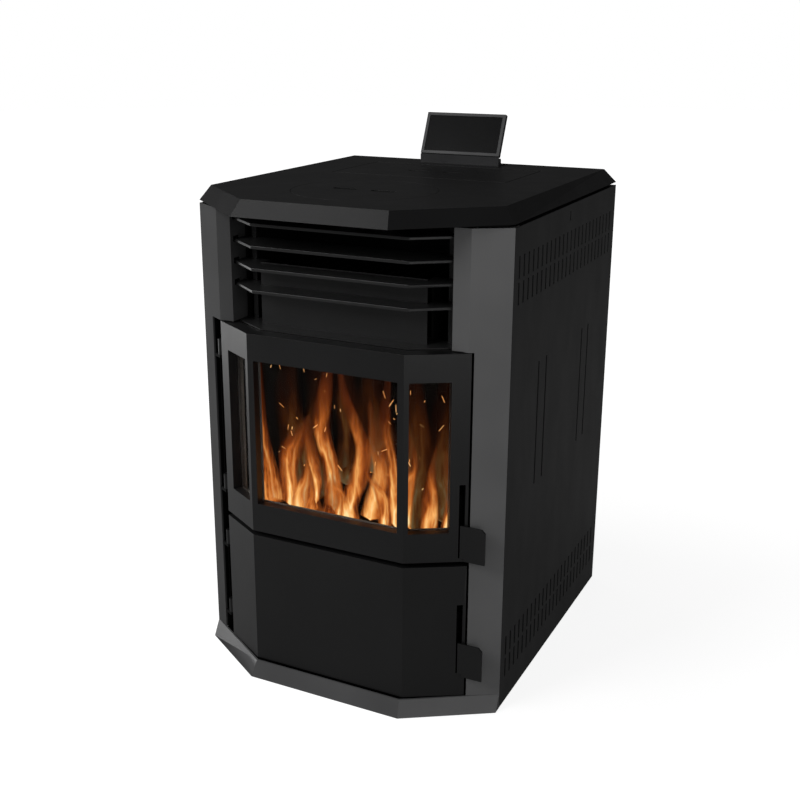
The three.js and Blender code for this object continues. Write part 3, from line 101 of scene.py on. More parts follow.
# %% [markdown]
# ## Node helpers
#
# Every finish here is a small tree of shader nodes that reads the object's own coordinates.
# The trees could be clicked together by hand, which is slow to repeat and hard to compare.
# Instead, short functions make a node, fill its sockets and link it in one line each.

# %% Nodes and links
def blank_material(name):
    """A material with an empty tree, and that tree."""
    material = bpy.data.materials.new(name)
    material.use_nodes = True
    material.node_tree.nodes.clear()
    return material, material.node_tree


def node(tree, kind, **settings):
    """A new node: settings name its properties or, failing that, its input sockets."""
    made = tree.nodes.new("ShaderNode" + kind)
    for key, value in settings.items():
        if hasattr(made, key):
            setattr(made, key, value)
        else:
            made.inputs[key.replace("_", " ")].default_value = value
    return made


def link(tree, source, target):
    """Links one socket to another."""
    tree.links.new(source, target)


def feed(tree, value, target):
    """Gives a socket its value: another socket, three numbers as a colour, or one number."""
    if isinstance(value, bpy.types.NodeSocket):
        link(tree, value, target)
    else:
        target.default_value = (*value, 1) if isinstance(value, tuple) else value


def finish_with(material, tree, shader, **sources):
    """Links each source to the shader's socket of that name, and ends the tree in it."""
    for key, source in sources.items():
        link(tree, source, shader.inputs[key.replace("_", " ")])
    end = node(tree, "OutputMaterial")
    link(tree, shader.outputs[0], end.inputs["Surface"])
    return material


print("nodes and links ready")

# %% Patterns and sums of nodes
MIX_FACTOR, MIX_FIRST, MIX_SECOND, MIX_RESULT = 0, 6, 7, 2  # a Mix node's colour sockets


def object_noise(tree, size_mm, detail=3.0, stretch=(1, 1, 1)):
    """Noise whose features are about size_mm across, in the object's own space."""
    place = node(tree, "TexCoord")
    scale = node(tree, "Mapping", Scale=stretch)
    pattern = node(tree, "TexNoise", Scale=1000.0 / size_mm, Detail=detail)
    link(tree, place.outputs["Object"], scale.inputs["Vector"])
    link(tree, scale.outputs["Vector"], pattern.inputs["Vector"])
    return pattern.outputs["Fac"]


def spread(tree, value, low, high, from_low=0.3, from_high=0.7):
    """A value from from_low..from_high mapped to low..high, clamped."""
    made = node(tree, "MapRange", From_Min=from_low, From_Max=from_high, To_Min=low, To_Max=high)
    link(tree, value, made.inputs["Value"])
    return made.outputs["Result"]


def between(tree, factor, first, second):
    """A colour between two others by a factor."""
    made = node(tree, "Mix", data_type="RGBA")
    for value, socket in ((factor, MIX_FACTOR), (first, MIX_FIRST), (second, MIX_SECOND)):
        feed(tree, value, made.inputs[socket])
    return made.outputs[MIX_RESULT]


def clouded(tree, noise, first, second, low=0.3, high=0.7):
    """A colour that turns from first to second while a noise rises from low to high."""
    return between(tree, spread(tree, noise, 0, 1, low, high), first, second)


def tinted(colour, strength):
    """A colour with its three parts times a strength."""
    return tuple(part * strength for part in colour)


def maths(tree, operation, first, second=None):
    """A sum on values: each is a socket or a plain number."""
    made = node(tree, "Math", operation=operation)
    for value, socket in zip((first, second), made.inputs):
        if value is not None:
            feed(tree, value, socket)
    return made.outputs[0]


def fading(tree, value, start, end):
    """1 until the value's size, whatever its sign, passes start, and 0 from end on."""
    return spread(tree, maths(tree, "ABSOLUTE", value), 1.0, 0.0, start, end)


def bumped(tree, height, strength, depth_mm, under=None):
    """A bump normal from a height, with its depth in millimetres."""
    made = node(tree, "Bump", Strength=strength, Distance=depth_mm * MM)
    link(tree, height, made.inputs["Height"])
    if under is not None:
        link(tree, under, made.inputs["Normal"])
    return made.outputs["Normal"]


print("patterns and sums ready")

# %% [markdown]
# ## The faceted front as a formula
#
# The doors are bent on two upright folds, so a place on them is easier to give as a distance
# along the bend than as x and y. One function turns (along, depth, height) into a point, for
# what follows the front, such as the rope behind the doors. The bend's own numbers also tell
# the pillars' paint where the slanted face ends.

# %% The front's bend
CENTRE_Y = 219.5
FOLD_X, FRONT_Y, SIDE_X = 134.5, 80.0, 268.0
BEND = math.atan2(FRONT_Y, SIDE_X - FOLD_X)


def on_front(along, depth, height):
    """Millimetres along the bent front from its middle, behind its face, and up, to metres.

    Up to each fold, drawn in by depth * tan(half the bend), the face runs along x; past it,
    along (cos bend, sin bend)."""
    given = (np.asarray(value, float) for value in (along, depth, height))
    along, depth, height = np.broadcast_arrays(*given)
    side, run = np.sign(along), np.abs(along)
    fold = FOLD_X - depth * math.tan(BEND / 2)
    past = np.maximum(run - fold, 0)
    x = side * (np.minimum(run, fold) + past * math.cos(BEND))
    y = -FRONT_Y + depth + past * math.sin(BEND) - CENTRE_Y
    return np.stack([x, y, height], -1) * MM


print("the front bends by", round(math.degrees(BEND), 1), "degrees at each fold")

# %% [markdown]
# ## Painted sheet
#
# The casing is steel sheet with a baked heat paint: nearly black, satin, with a fine grain
# like orange peel where the spray dried, and faint cloudy changes of sheen where it was wiped.
# A flat dark colour would look like a hole in the picture, because black paint is seen mostly
# by what it reflects. So the finish is built from one dark colour, a grain too small to count
# and a slow noise in the roughness. Each panel group gets its own copy of that colour, lighter
# or darker as painted light and shade where its faces catch more or less light.
#
# The pillars turn back beside the doors. That return is painted dark and matt, as painted
# shade in the narrow gap there.

# %% Painted steel finishes
# Colour and roughness of the painted shade on the pillars' returns.
RETURN_SHADE_COLOUR, RETURN_ROUGHNESS = (0.002, 0.002, 0.002), 0.9


def paint(name, colour, roughness, sheen_level, grain_mm=0.9, grain=0.16):
    """Satin paint: colour times slow clouds, roughness plus wipes, normal from a fine grain."""
    material, tree = blank_material(name)
    clouds = object_noise(tree, 160, 2)
    wipes = object_noise(tree, 45, 4, (1, 1, 0.35))
    fine = object_noise(tree, grain_mm, 2)
    return finish_with(
        material, tree, node(tree, "BsdfPrincipled", Specular_IOR_Level=sheen_level),
        Base_Color=clouded(tree, clouds, tinted(colour, 0.88), tinted(colour, 1.12)),
        Roughness=spread(tree, wipes, roughness - 0.02, roughness + 0.03),
        Normal=bumped(tree, fine, grain, 0.05),
    )


def paint_return_shade(material):
    """Paints shade on a pillar's return, dark and matt: where a point lies about 3 mm or more
    behind the slanted face, and under 592 mm. Its depth behind that face is
    (y - y0) cos(bend) - (|x| - x0) sin(bend), where (x0, y0) is the fold."""
    tree = material.node_tree
    shader = next(each for each in tree.nodes if each.type == "BSDF_PRINCIPLED")
    place = node(tree, "TexCoord")
    parts = node(tree, "SeparateXYZ")
    link(tree, place.outputs["Object"], parts.inputs[0])
    across = maths(tree, "SUBTRACT", maths(tree, "ABSOLUTE", parts.outputs["X"]), FOLD_X * MM)
    back = maths(tree, "ADD", parts.outputs["Y"], (FRONT_Y + CENTRE_Y) * MM)
    back = maths(tree, "MULTIPLY", back, math.cos(BEND))
    depth = maths(tree, "SUBTRACT", back, maths(tree, "MULTIPLY", across, math.sin(BEND)))
    behind = spread(tree, depth, 0.0, 1.0, 2.0 * MM, 4.0 * MM)
    low = spread(tree, parts.outputs["Z"], 1.0, 0.0, 591.5 * MM, 592.5 * MM)
    shade_mask = maths(tree, "MULTIPLY", behind, low)
    colour, rough = shader.inputs["Base Color"], shader.inputs["Roughness"]
    link(tree, between(tree, shade_mask, colour.links[0].from_socket, RETURN_SHADE_COLOUR), colour)
    matt = maths(tree, "MULTIPLY", shade_mask, RETURN_ROUGHNESS)
    link(tree, maths(tree, "MAXIMUM", rough.links[0].from_socket, matt), rough)


# Each is its linear colour, its roughness and how strongly it mirrors.
# The casing's paints are lit and shaded copies of one near-black: the front's, the skirt's and
# the louvres' are lighter as painted light, and the left pillar's is darker than the front's as
# painted shade.
top_paint = paint("top_paint", (0.0065, 0.0065, 0.0067), 0.42, 0.16)
side_paint = paint("side_paint", (0.0062, 0.0062, 0.0064), 0.42, 0.21)
pillar_paint = paint("pillar_paint", (0.096, 0.096, 0.097), 0.40, 0.28)
shaded_left_paint = paint("shaded_left_pillar_paint", (0.043, 0.043, 0.0434), 0.6, 0.03)
skirt_paint = paint("skirt_paint", (0.050, 0.050, 0.051), 0.34, 0.3)
louvre_paint = paint("louvre_paint", (0.013, 0.013, 0.0132), 0.36, 0.3)
door_paint = paint("door_paint", (0.006, 0.006, 0.0062), 0.36, 0.3)
heat_paint = paint("heat_paint", (0.005, 0.0049, 0.0047), 0.6, 0.08, 1.4, 0.25)
# The jamb paint is the darkest, as painted shade: it goes on the door hinges in the gaps, and on
# the strips and folds inside the casing.
jamb_shade_paint = paint("jamb_shade_paint", (0.003, 0.003, 0.003), 0.7, 0.05)
# Painted shade on both pillars' returns.
paint_return_shade(pillar_paint)
paint_return_shade(shaded_left_paint)
print("nine paints, two of them dark on the pillars' returns")

# %% [markdown]
# ## Metals
#
# Inside there is galvanised sheet with its crystal spangle, cast iron and turned pins. Each
# could be a plain grey, but the difference between them is texture: spangle is a pattern of
# cells in colour and roughness, turning leaves fine rings, and cast iron is lumpy and sooty.

# %% Metal finishes
def sheet_metal(name, colour, roughness):
    """Galvanised sheet: crystal cells shift the roughness and colour, metallic is 1."""
    material, tree = blank_material(name)
    place = node(tree, "TexCoord")
    cells = node(tree, "TexVoronoi", Scale=140.0)
    link(tree, place.outputs["Object"], cells.inputs["Vector"])
    tone = node(tree, "SeparateColor")
    link(tree, cells.outputs["Color"], tone.inputs["Color"])
    rough = spread(tree, tone.outputs["Green"], roughness - 0.08, roughness + 0.1, 0, 1)
    return finish_with(
        material, tree, node(tree, "BsdfPrincipled", Metallic=1.0),
        Base_Color=between(tree, tone.outputs["Red"], colour, tinted(colour, 1.25)),
        Roughness=rough, Normal=bumped(tree, object_noise(tree, 2.5), 0.1, 0.03),
    )


def turned_metal(name, colour, roughness):
    """Turned steel: fine rings of changing roughness, metallic is 1."""
    material, tree = blank_material(name)
    rings = object_noise(tree, 0.6, 2, (6, 1, 1))
    return finish_with(
        material, tree, node(tree, "BsdfPrincipled", Metallic=1.0),
        Base_Color=clouded(tree, rings, tinted(colour, 0.8), colour),
        Roughness=spread(tree, rings, roughness - 0.06, roughness + 0.08),
    )


def cast_surface(name, colour):
    """Sooty cast iron: lumps over pits, darker where soot has settled."""
    material, tree = blank_material(name)
    soot, lumps = object_noise(tree, 38, 4), object_noise(tree, 3.2, 4)
    coarse = bumped(tree, lumps, 0.5, 0.4)
    return finish_with(
        material, tree, node(tree, "BsdfPrincipled", Specular_IOR_Level=0.06),
        Base_Color=clouded(tree, soot, tinted(colour, 0.35), colour),
        Roughness=spread(tree, lumps, 0.62, 0.86),
        Normal=bumped(tree, object_noise(tree, 0.9, 2), 0.4, 0.15, coarse),
    )


zinc_sheet = sheet_metal("zinc_sheet", (0.42, 0.43, 0.44), 0.36)
steel_pin = turned_metal("steel_pin", (0.55, 0.55, 0.56), 0.28)
screw_metal = turned_metal("screw_metal", (0.09, 0.09, 0.09), 0.35)
cast_iron = cast_surface("cast_iron", (0.006, 0.0055, 0.005))
print("four metals")

# %% [markdown]
# ## Plastic, glass and rope
#
# The display's housing is moulded plastic with a tiny grain, and its screen is a smooth dark
# pane. The windows are ceramic glass. Real glass blocks a lamp's direct light in a path
# tracer, so shadow rays pass through a plain tint instead and the fire chamber isn't left in
# the dark. The left pane mirrors more than the others, as it does in the photograph.

# %% Plastic, glass and rope finishes
GLASS_TINT = (0.93, 0.9, 0.86)


def moulded(name, colour, roughness, level):
    """Moulded plastic: a fine spark-eroded grain and a faint change of sheen."""
    material, tree = blank_material(name)
    slow = object_noise(tree, 60, 2)
    return finish_with(
        material, tree, node(tree, "BsdfPrincipled", Specular_IOR_Level=level),
        Base_Color=clouded(tree, slow, tinted(colour, 0.9), tinted(colour, 1.1)),
        Roughness=spread(tree, slow, roughness - 0.04, roughness + 0.05),
        Normal=bumped(tree, object_noise(tree, 0.7, 2), 0.2, 0.06),
    )


def pane(name, tint, ior):
    """Clear ceramic glass: a glass shader, and a plain tint for the rays that cast shadows."""
    material, tree = blank_material(name)
    glass = node(tree, "BsdfPrincipled", Roughness=0.02, IOR=ior, Transmission_Weight=1.0)
    smoke = clouded(tree, object_noise(tree, 90, 3), tinted(tint, 0.93), tint)
    link(tree, smoke, glass.inputs["Base Color"])
    clear = node(tree, "BsdfTransparent", Color=(*tint, 1))
    ray = node(tree, "LightPath")
    choice = node(tree, "MixShader")
    link(tree, ray.outputs["Is Shadow Ray"], choice.inputs[0])
    link(tree, glass.outputs["BSDF"], choice.inputs[1])
    link(tree, clear.outputs["BSDF"], choice.inputs[2])
    return finish_with(material, tree, choice)


def woven_rope(name, colour):
    """Glass-fibre rope: matt yarn, paler on the crowns of its strands."""
    material, tree = blank_material(name)
    fuzz = object_noise(tree, 0.8, 3)
    return finish_with(
        material, tree, node(tree, "BsdfPrincipled", Roughness=0.95, Specular_IOR_Level=0.15),
        Base_Color=clouded(tree, fuzz, tinted(colour, 0.6), colour),
        Normal=bumped(tree, fuzz, 0.6, 0.3),
    )


black_plastic = moulded("black_plastic", (0.016, 0.016, 0.017), 0.45, 0.25)
screen_glass = moulded("screen_glass", (0.004, 0.004, 0.0042), 0.24, 0.02)
door_glass = pane("door_glass", GLASS_TINT, 1.12)
side_glass = pane("side_glass", GLASS_TINT, 1.3)
glass_rope = woven_rope("glass_rope", (0.16, 0.155, 0.15))
FINISHES = {
    "top_paint": top_paint, "side_paint": side_paint, "front_paint": pillar_paint,
    "door_paint": door_paint, "heat_paint": heat_paint, "door_glass": door_glass,
    "glass_rope": glass_rope, "cast_iron": cast_iron, "steel_pin": steel_pin,
    "zinc_sheet": zinc_sheet, "black_plastic": black_plastic, "screen": screen_glass,
}
print("finishes:", ", ".join(sorted(FINISHES)))

# %% [markdown]
# ## Finishing the frame's own solids
#
# The folded sheets, doors and lids already have the right shape, so they stay as they are.
# Only their edges are wrong: a computed solid has corners of no radius at all, while bent and
# sprayed steel has about a millimetre, and that millimetre is what catches the light.
# Bevelling by hand would change the solids, so a Weld joins each solid's loose triangles and a
# Bevel rounds the edges that really turn, both as modifiers, with the mesh below untouched.

# %% A finish for every solid of the frame
# Some solids take another paint or glass. The skirt, the glass retainer, the louvres and the
# inner front panel take lighter copies as painted light, the left pillar a darker copy and the
# hinges the darkest paint as painted shade.
SHADES = {
    "pillar_left": shaded_left_paint, "plinth_skirt": skirt_paint, "glass_retainer": skirt_paint,
    "inner_front_panel": louvre_paint, "feed_chute": heat_paint, "door_glass_left": side_glass,
    "fire_door_hinge": jamb_shade_paint, "ash_door_hinge": jamb_shade_paint,
}
SHADES.update({name: louvre_paint for name in nodes if name.startswith("louvre_fin")})
for row in frame["record"]["subparts"]:
    mesh = nodes[row["node"]].data
    mesh.materials.clear()
    mesh.materials.append(SHADES.get(row["node"], FINISHES[row["material_slot"]]))

# %% Soften the edges of the outer solids
def soften(name, width_mm):
    """Rounds a solid's true edges: weld, then bevel where faces meet at more than 25 degrees."""
    solid = nodes[name]
    weld = solid.modifiers.new("weld", "WELD")
    weld.merge_threshold = 1e-5
    bevel = solid.modifiers.new("round_edges", "BEVEL")
    bevel.width = width_mm * MM
    bevel.segments = 2
    bevel.limit_method = "ANGLE"
    bevel.angle_limit = math.radians(25)
    bevel.use_clamp_overlap = True
    bevel.harden_normals = False


EDGE_MM = {
    "top_plate": 1.2, "round_lid": 0.25, "hopper_lid": 0.25, "side_panel_right": 0.5,
    "side_panel_left": 0.5, "back_panel": 0.5, "pillar_right": 0.7, "pillar_left": 0.7,
    "plinth_skirt": 0.8, "fire_door": 1.0, "ash_door": 1.0,
    "fire_door_latch": 0.8, "ash_door_latch": 0.8, "display_housing": 1.0, "display_base": 0.6,
    "louvre_fin_1": 1.0, "louvre_fin_2": 1.0, "louvre_fin_3": 1.0, "louvre_fin_4": 1.0,
}
for name, width in EDGE_MM.items():
    soften(name, width)
print("softened", len(EDGE_MM), "solids")

# %% [markdown]
# ## Surfaces from formulas
#
# What the frame lacks is made here as surfaces worked out with numpy: a grid of points is a
# function of two numbers, one along the piece and one round it. Primitives would be quicker,
# but a flame or a braided rope has no primitive. A whole grid is computed at once as an array,
# its faces are four corners each, and rows that close to a point are merged into a pole.

# %% Grids, meshes and repeated shapes
def grid_faces(rows, columns):
    """Corner numbers of the faces of a grid whose last column meets its first:
    (r, c), (r, c+1), (r+1, c+1), (r+1, c)."""
    r, c = np.meshgrid(np.arange(rows - 1), np.arange(columns), indexing="ij")
    a, b = r * columns + c, r * columns + (c + 1) % columns
    return np.stack([a, b, b + columns, a + columns], -1).reshape(-1, 4)


def outward(points, faces):
    """Faces in the order that makes the enclosed volume, a sum of corner products, positive."""
    a, b, c, d = (points[faces[:, k]] for k in range(4))
    volume = np.einsum("ij,ij->", a, np.cross(b, c)) + np.einsum("ij,ij->", a, np.cross(c, d))
    return faces if volume > 0 else faces[:, ::-1]


def merge_doubles(mesh):
    """Makes corners on one spot into one, so that a row drawn to a point becomes a pole."""
    work = bmesh.new()
    work.from_mesh(mesh)
    bmesh.ops.remove_doubles(work, verts=work.verts, dist=2e-6)
    work.to_mesh(mesh)
    work.free()


def new_piece(name, points, faces, material, body, smooth=True, marks=None,
              stands_for=()):
    """A mesh object on a body. marks, if given, are two numbers a corner, kept as its UV map."""
    mesh = bpy.data.meshes.new(name)
    mesh.from_pydata(points.tolist(), [], faces.tolist())
    if marks is not None:
        corner = np.zeros(len(mesh.loops), np.int32)
        mesh.loops.foreach_get("vertex_index", corner)
        uv = mesh.uv_layers.new(name="marks").data
        uv.foreach_set("uv", marks[corner].ravel().astype(np.float32))
    merge_doubles(mesh)
    mesh.polygons.foreach_set("use_smooth", [smooth] * len(mesh.polygons))
    mesh.materials.append(material)
    made = bpy.data.objects.new(name, mesh)
    scene.collection.objects.link(made)
    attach(made, body)
    if stands_for:
        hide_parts(*stands_for)
    print(name, len(mesh.polygons), "faces on", body)


def repeated(points, faces, places, turns):
    """One shape set down many times: p -> turn p + place, for each place and turn."""
    spots = np.einsum("nij,kj->nki", turns, points) + places[:, None, :]
    lists = faces[None] + (np.arange(len(places)) * len(points))[:, None, None]
    return spots.reshape(-1, 3), lists.reshape(-1, faces.shape[1])


def facing(direction, up=(0, 0, 1)):
    """The turn that takes +Z to a direction, with +Y near up."""
    z = np.asarray(direction, float)
    z = z / np.linalg.norm(z)
    x = np.cross(up, z)
    x = x / np.linalg.norm(x)
    return np.stack([x, np.cross(z, x), z], 1)


print("surface helpers ready")

# %% [markdown]
# ## Glass-fibre rope
#
# Each door closes on a rope of braided glass fibre, glued round its back. The frame has a
# plain square seal there. A braid could be a texture, but at the open door its strands catch
# the light, so it is a tube swept round the seal's loop, its radius rising and falling where
# two sets of strands cross.

# %% Loops and braids
def loop_around(half_run, low, high, corner, depth, step=1.3):
    """A closed loop on the front: a rectangle of half_run and low..high with round corners.

    Returns its points and how far round the loop each lies, from 0 up to 1."""
    width, height = 2 * half_run, high - low
    straight_x, straight_z = width - 2 * corner, height - 2 * corner
    arc = corner * math.pi / 2
    total = 2 * (straight_x + straight_z) + 4 * arc
    at = np.linspace(0, total, int(total / step), endpoint=False)
    middle = np.array([[half_run - corner, low + corner], [half_run - corner, high - corner],
                       [corner - half_run, high - corner], [corner - half_run, low + corner]])
    runs = np.cumsum([0, straight_x, arc, straight_z, arc, straight_x, arc, straight_z, arc])
    leg = np.clip(np.searchsorted(runs, at, side="right") - 1, 0, 7)
    along = at - runs[leg]
    k = leg // 2
    out = np.array([[0, -1], [1, 0], [0, 1], [-1, 0]])[k]
    ahead = np.array([[1, 0], [0, 1], [-1, 0], [0, -1]])[k]
    start = middle[(k - 1) % 4]
    line = start + out * corner + ahead * along[:, None]
    turn = along / corner
    curve = middle[k] + corner * (out * np.cos(turn)[:, None] + ahead * np.sin(turn)[:, None])
    flat = np.where((leg % 2 == 0)[:, None], line, curve)
    return on_front(flat[:, 0], depth, flat[:, 1]), at / total, total


def braided_tube(path, share, crossings, wide, deep, strands=8, height=0.45, sides=24):
    """A tube along a closed path, with two half widths and a braid's crossing ridges.

    radius = oval + height * (|sin(p + q)| * |sin(p - q)| - 1/2), where p is half the strands
    times the angle, and q is pi times the crossings times the share of the way round."""
    ahead = np.roll(path, -1, 0) - np.roll(path, 1, 0)
    ahead /= np.linalg.norm(ahead, axis=1)[:, None]
    face = np.cross(ahead, [0.0, 1.0, 0.0])
    face /= np.linalg.norm(face, axis=1)[:, None]
    back = np.cross(face, ahead)
    a, q = np.meshgrid(np.linspace(0, TAU, sides, endpoint=False), math.pi * crossings * share)
    p = strands / 2 * a
    bulge = height * (np.abs(np.sin(p + q) * np.sin(p - q)) - 0.5)
    u, w = ((wide + bulge) * np.cos(a))[..., None], ((deep + bulge) * np.sin(a))[..., None]
    points = path[:, None, :] + MM * (u * face[:, None, :] + w * back[:, None, :])
    points = np.concatenate([points, points[:1]])
    return points.reshape(-1, 3), grid_faces(len(points), sides)


print("rope helpers ready")

# %% Ropes behind the two doors
# Millimetres: how far the seal reaches past each fold, lies behind the front and is half
# wide; the rope's corners and half widths, and the run from one crossing to the next.
SEAL_PAST_FOLD, SEAL_DEPTH, SEAL_HALF = 80.0, 29.15, 3.5
ROPE_CORNER, ROPE_WIDE, ROPE_DEEP, CROSSING_STEP = 10.0, 3.1, 3.5, 8.0

half_run = FOLD_X + SEAL_PAST_FOLD - 2 * SEAL_DEPTH * math.tan(BEND / 2)
for name, low, high, body, seal in (
    ("fire_rope", 286.0, 569.0, "fire_door", "fire_door_rope"),
    ("ash_rope", 38.0, 244.0, "ash_door", "ash_door_rope"),
):
    path, share, total = loop_around(
        half_run, low + SEAL_HALF, high - SEAL_HALF, ROPE_CORNER, SEAL_DEPTH
    )
    crossings = round(total / CROSSING_STEP)
    points, faces = braided_tube(path, share, crossings, ROPE_WIDE, ROPE_DEEP)
    faces = outward(points, faces)
    new_piece(name, points, faces, glass_rope, body, stands_for=(seal,))

# %% [markdown]
# ## Strips and folds that close the casing
#
# Each louvre ends in a slot in the pillar's cheek. On the real stove nothing shows through a
# slot, because a strip of sheet closes it from inside, and the panels' top edges are folded
# inwards under the top. Both could be left out, but then daylight from the vents would shine
# through. Each is a flat section with round corners, carried straight along: the plainest case
# of a profile along a path.

# %% Closing strips inside the pillars, and folds under the top
def round_section(width, depth, corner, steps=4):
    """Outline of a rectangle with quarter-circle corners, anticlockwise, as (x, y) rows."""
    a = (np.arange(4)[:, None] + np.linspace(0, 1, steps)) * math.pi / 2
    x = (width / 2 - corner) * np.sign(np.cos(a.mean(1)))[:, None] + corner * np.cos(a)
    y = (depth / 2 - corner) * np.sign(np.sin(a.mean(1)))[:, None] + corner * np.sin(a)
    return np.stack([x.ravel(), y.ravel()], 1)


def upright(outline, levels):
    """The outline carried up through levels: points (x s, y s, z), where s is 1 at each level
    and 0 at the two poles that close the ends."""
    scales = np.concatenate([[0.0], np.ones(len(levels)), [0.0]])
    wide = scales[:, None, None] * outline
    high = np.concatenate([levels[:1], levels, levels[-1:]])[:, None] + 0 * wide[..., 0]
    points = np.concatenate([wide, high[..., None]], -1).reshape(-1, 3) * MM
    return points, grid_faces(len(scales), len(outline))


# Millimetres: a strip's section and its place, and the slots' lowest and highest points.
STRIP_THICK, STRIP_DEEP, STRIP_X, STRIP_Y = 1.2, 38.0, 195.0, -9.0
SLOTS_LOW, SLOTS_HIGH = 642.0, 768.0
section = round_section(STRIP_THICK, STRIP_DEEP, 0.5)
strip, faces = upright(section, np.linspace(SLOTS_LOW, SLOTS_HIGH, 5))
spots = np.array([(side * STRIP_X, STRIP_Y - CENTRE_Y, 0.0) for side in (-1, 1)]) * MM
strip, faces = repeated(strip, outward(strip, faces), spots, np.repeat(np.eye(3)[None], 2, 0))
# The strips take the darkest paint, as painted shade inside the slots.
new_piece("slot_strips", strip, faces, jamb_shade_paint, "root", smooth=False)

# The back and side panels turn inwards at the top by these folds, under the top's seam.
FOLD_Z, FOLD_THICK = 770.9, 1.0
# The folds take the darkest paint, as painted shade under the seam.
for name, length, width, middle, way in (
    ("back_fold", 524.0, 5.4, (0.0, 285.5, FOLD_Z), (1, 0, 0)),
    ("right_fold", 482.0, 7.4, (262.0, 46.0, FOLD_Z), (0, 1, 0)),
    ("left_fold", 482.0, 7.4, (-262.0, 46.0, FOLD_Z), (0, 1, 0)),
):
    section = round_section(width, FOLD_THICK, 0.4)
    fold, faces = upright(section, np.linspace(-length / 2, length / 2, 3))
    spot = np.array([middle]) * MM
    fold, faces = repeated(fold, outward(fold, faces), spot, facing(way)[None])
    new_piece(name, fold, faces, jamb_shade_paint, "root", smooth=False)

# %% [markdown]
# ## Fire
#
# Through the windows the photograph shows tall orange flames with pale edges, and sparks.
# A flame could be smoke simulation, but that can't travel with a part, so each tongue is a
# thin body: its cross-section is an oval, its middle line sways as it climbs, and its width
# rises quickly from nothing and dies away at the tip. Its light is a stretched noise whose
# ridges are pale, and it fades out towards its own edges, which its UV map marks.

# %% Flame finish
FLAME_TONES = (
    (0.0, (0.10, 0.018, 0.004, 1)), (0.2, (0.21, 0.040, 0.007, 1)),
    (0.45, (0.50, 0.135, 0.022, 1)), (0.78, (0.90, 0.43, 0.125, 1)), (1.0, (1.0, 0.74, 0.36, 1)),
)


def flame_finish(name, brightness):
    """Light and alpha. A pale core wanders across the tongue with a slow upright noise, thin
    folds are the places where a finer noise is near its middle, and both fade towards the
    tip. Alpha falls from the middle to the edges and with the heat."""
    material, tree = blank_material(name)
    spot = node(tree, "UVMap", uv_map="marks")
    parts = node(tree, "SeparateXYZ")
    link(tree, spot.outputs[0], parts.inputs[0])
    across, along = parts.outputs["X"], parts.outputs["Y"]

    def times(first, second):
        """One value times another."""
        return maths(tree, "MULTIPLY", first, second)

    slow = object_noise(tree, 36, 2, (1, 0.6, 0.3))
    fine = object_noise(tree, 13, 3, (1, 0.6, 0.2))
    wander = times(maths(tree, "SUBTRACT", slow, 0.5), 4.0)
    core = fading(tree, maths(tree, "ADD", across, wander), 0.0, 0.62)
    fold = fading(tree, maths(tree, "SUBTRACT", fine, 0.5), 0.0, 0.1)
    ridges = maths(tree, "ADD", times(core, 0.62), times(fold, 0.22))
    heat = maths(tree, "ADD", ridges, spread(tree, slow, 0.04, 0.30))
    heat = times(heat, spread(tree, along, 1.15, 0.14, 0.1, 0.85))
    cover = times(fading(tree, across, 0.45, 1.0), spread(tree, heat, 0.3, 1.0, 0.05, 0.5))
    cover = times(cover, spread(tree, along, 1.0, 0.3, 0.25, 0.95))
    tone = node(tree, "ValToRGB")
    stops = tone.color_ramp.elements
    for position, _ in FLAME_TONES[1:-1]:
        stops.new(position)
    for stop, (_, colour) in zip(stops, FLAME_TONES):
        stop.color = colour
    link(tree, heat, tone.inputs[0])
    light = node(tree, "BsdfPrincipled", Base_Color=(0, 0, 0, 1), Roughness=1.0,
                 Specular_IOR_Level=0.0, Emission_Strength=brightness)
    return finish_with(material, tree, light, Emission_Color=tone.outputs["Color"], Alpha=cover)


flame_light = flame_finish("flame_light", 1.2)
flame_far = flame_finish("flame_far", 0.12)
print("flame finishes, near and far")

# %% Ember and spark finishes
def ember_finish(name):
    """Charred pellets: black crust, and orange light where a coarse noise is high."""
    material, tree = blank_material(name)
    glow, fine = object_noise(tree, 7, 3), object_noise(tree, 1.5, 3)
    return finish_with(
        material, tree, node(tree, "BsdfPrincipled", Roughness=0.9),
        Base_Color=clouded(tree, fine, (0.02, 0.015, 0.012), (0.09, 0.07, 0.06)),
        Emission_Color=clouded(tree, glow, (0.25, 0.02, 0.0), (1.0, 0.42, 0.08), 0.4, 0.65),
        Emission_Strength=spread(tree, glow, 0.0, 3.0, 0.42, 0.62),
        Normal=bumped(tree, fine, 0.7, 0.3),
    )


def spark_finish(name, brightness):
    """Plain light, from orange to a paler yellow with a slow noise."""
    material, tree = blank_material(name)
    hues = clouded(tree, object_noise(tree, 30), (1.0, 0.34, 0.07), (1.0, 0.62, 0.25))
    return finish_with(material, tree, node(tree, "Emission", Strength=brightness), Color=hues)


ember = ember_finish("ember")
spark_light = spark_finish("spark_light", 2.0)
print("ember and spark finishes")

# %% Tongues of flame
def smooth_through(knots, count):
    """Values on a smooth curve through knots: between two knots it is the cubic whose slope at
    each of them is half the step from the knot before it to the knot after it."""
    knots = np.asarray(knots, float)
    padded = np.vstack([2 * knots[0] - knots[1], knots, 2 * knots[-1] - knots[-2]])
    t = np.linspace(0, len(knots) - 1, count)
    i = np.minimum(t.astype(int), len(knots) - 2)
    u = (t - i)[:, None]
    a, b, c, d = (padded[i + k] for k in range(4))
    bow, twist = 2 * a - 5 * b + 4 * c - d, 3 * b - a - 3 * c + d
    return 0.5 * (2 * b + (c - a) * u + bow * u**2 + twist * u**3)


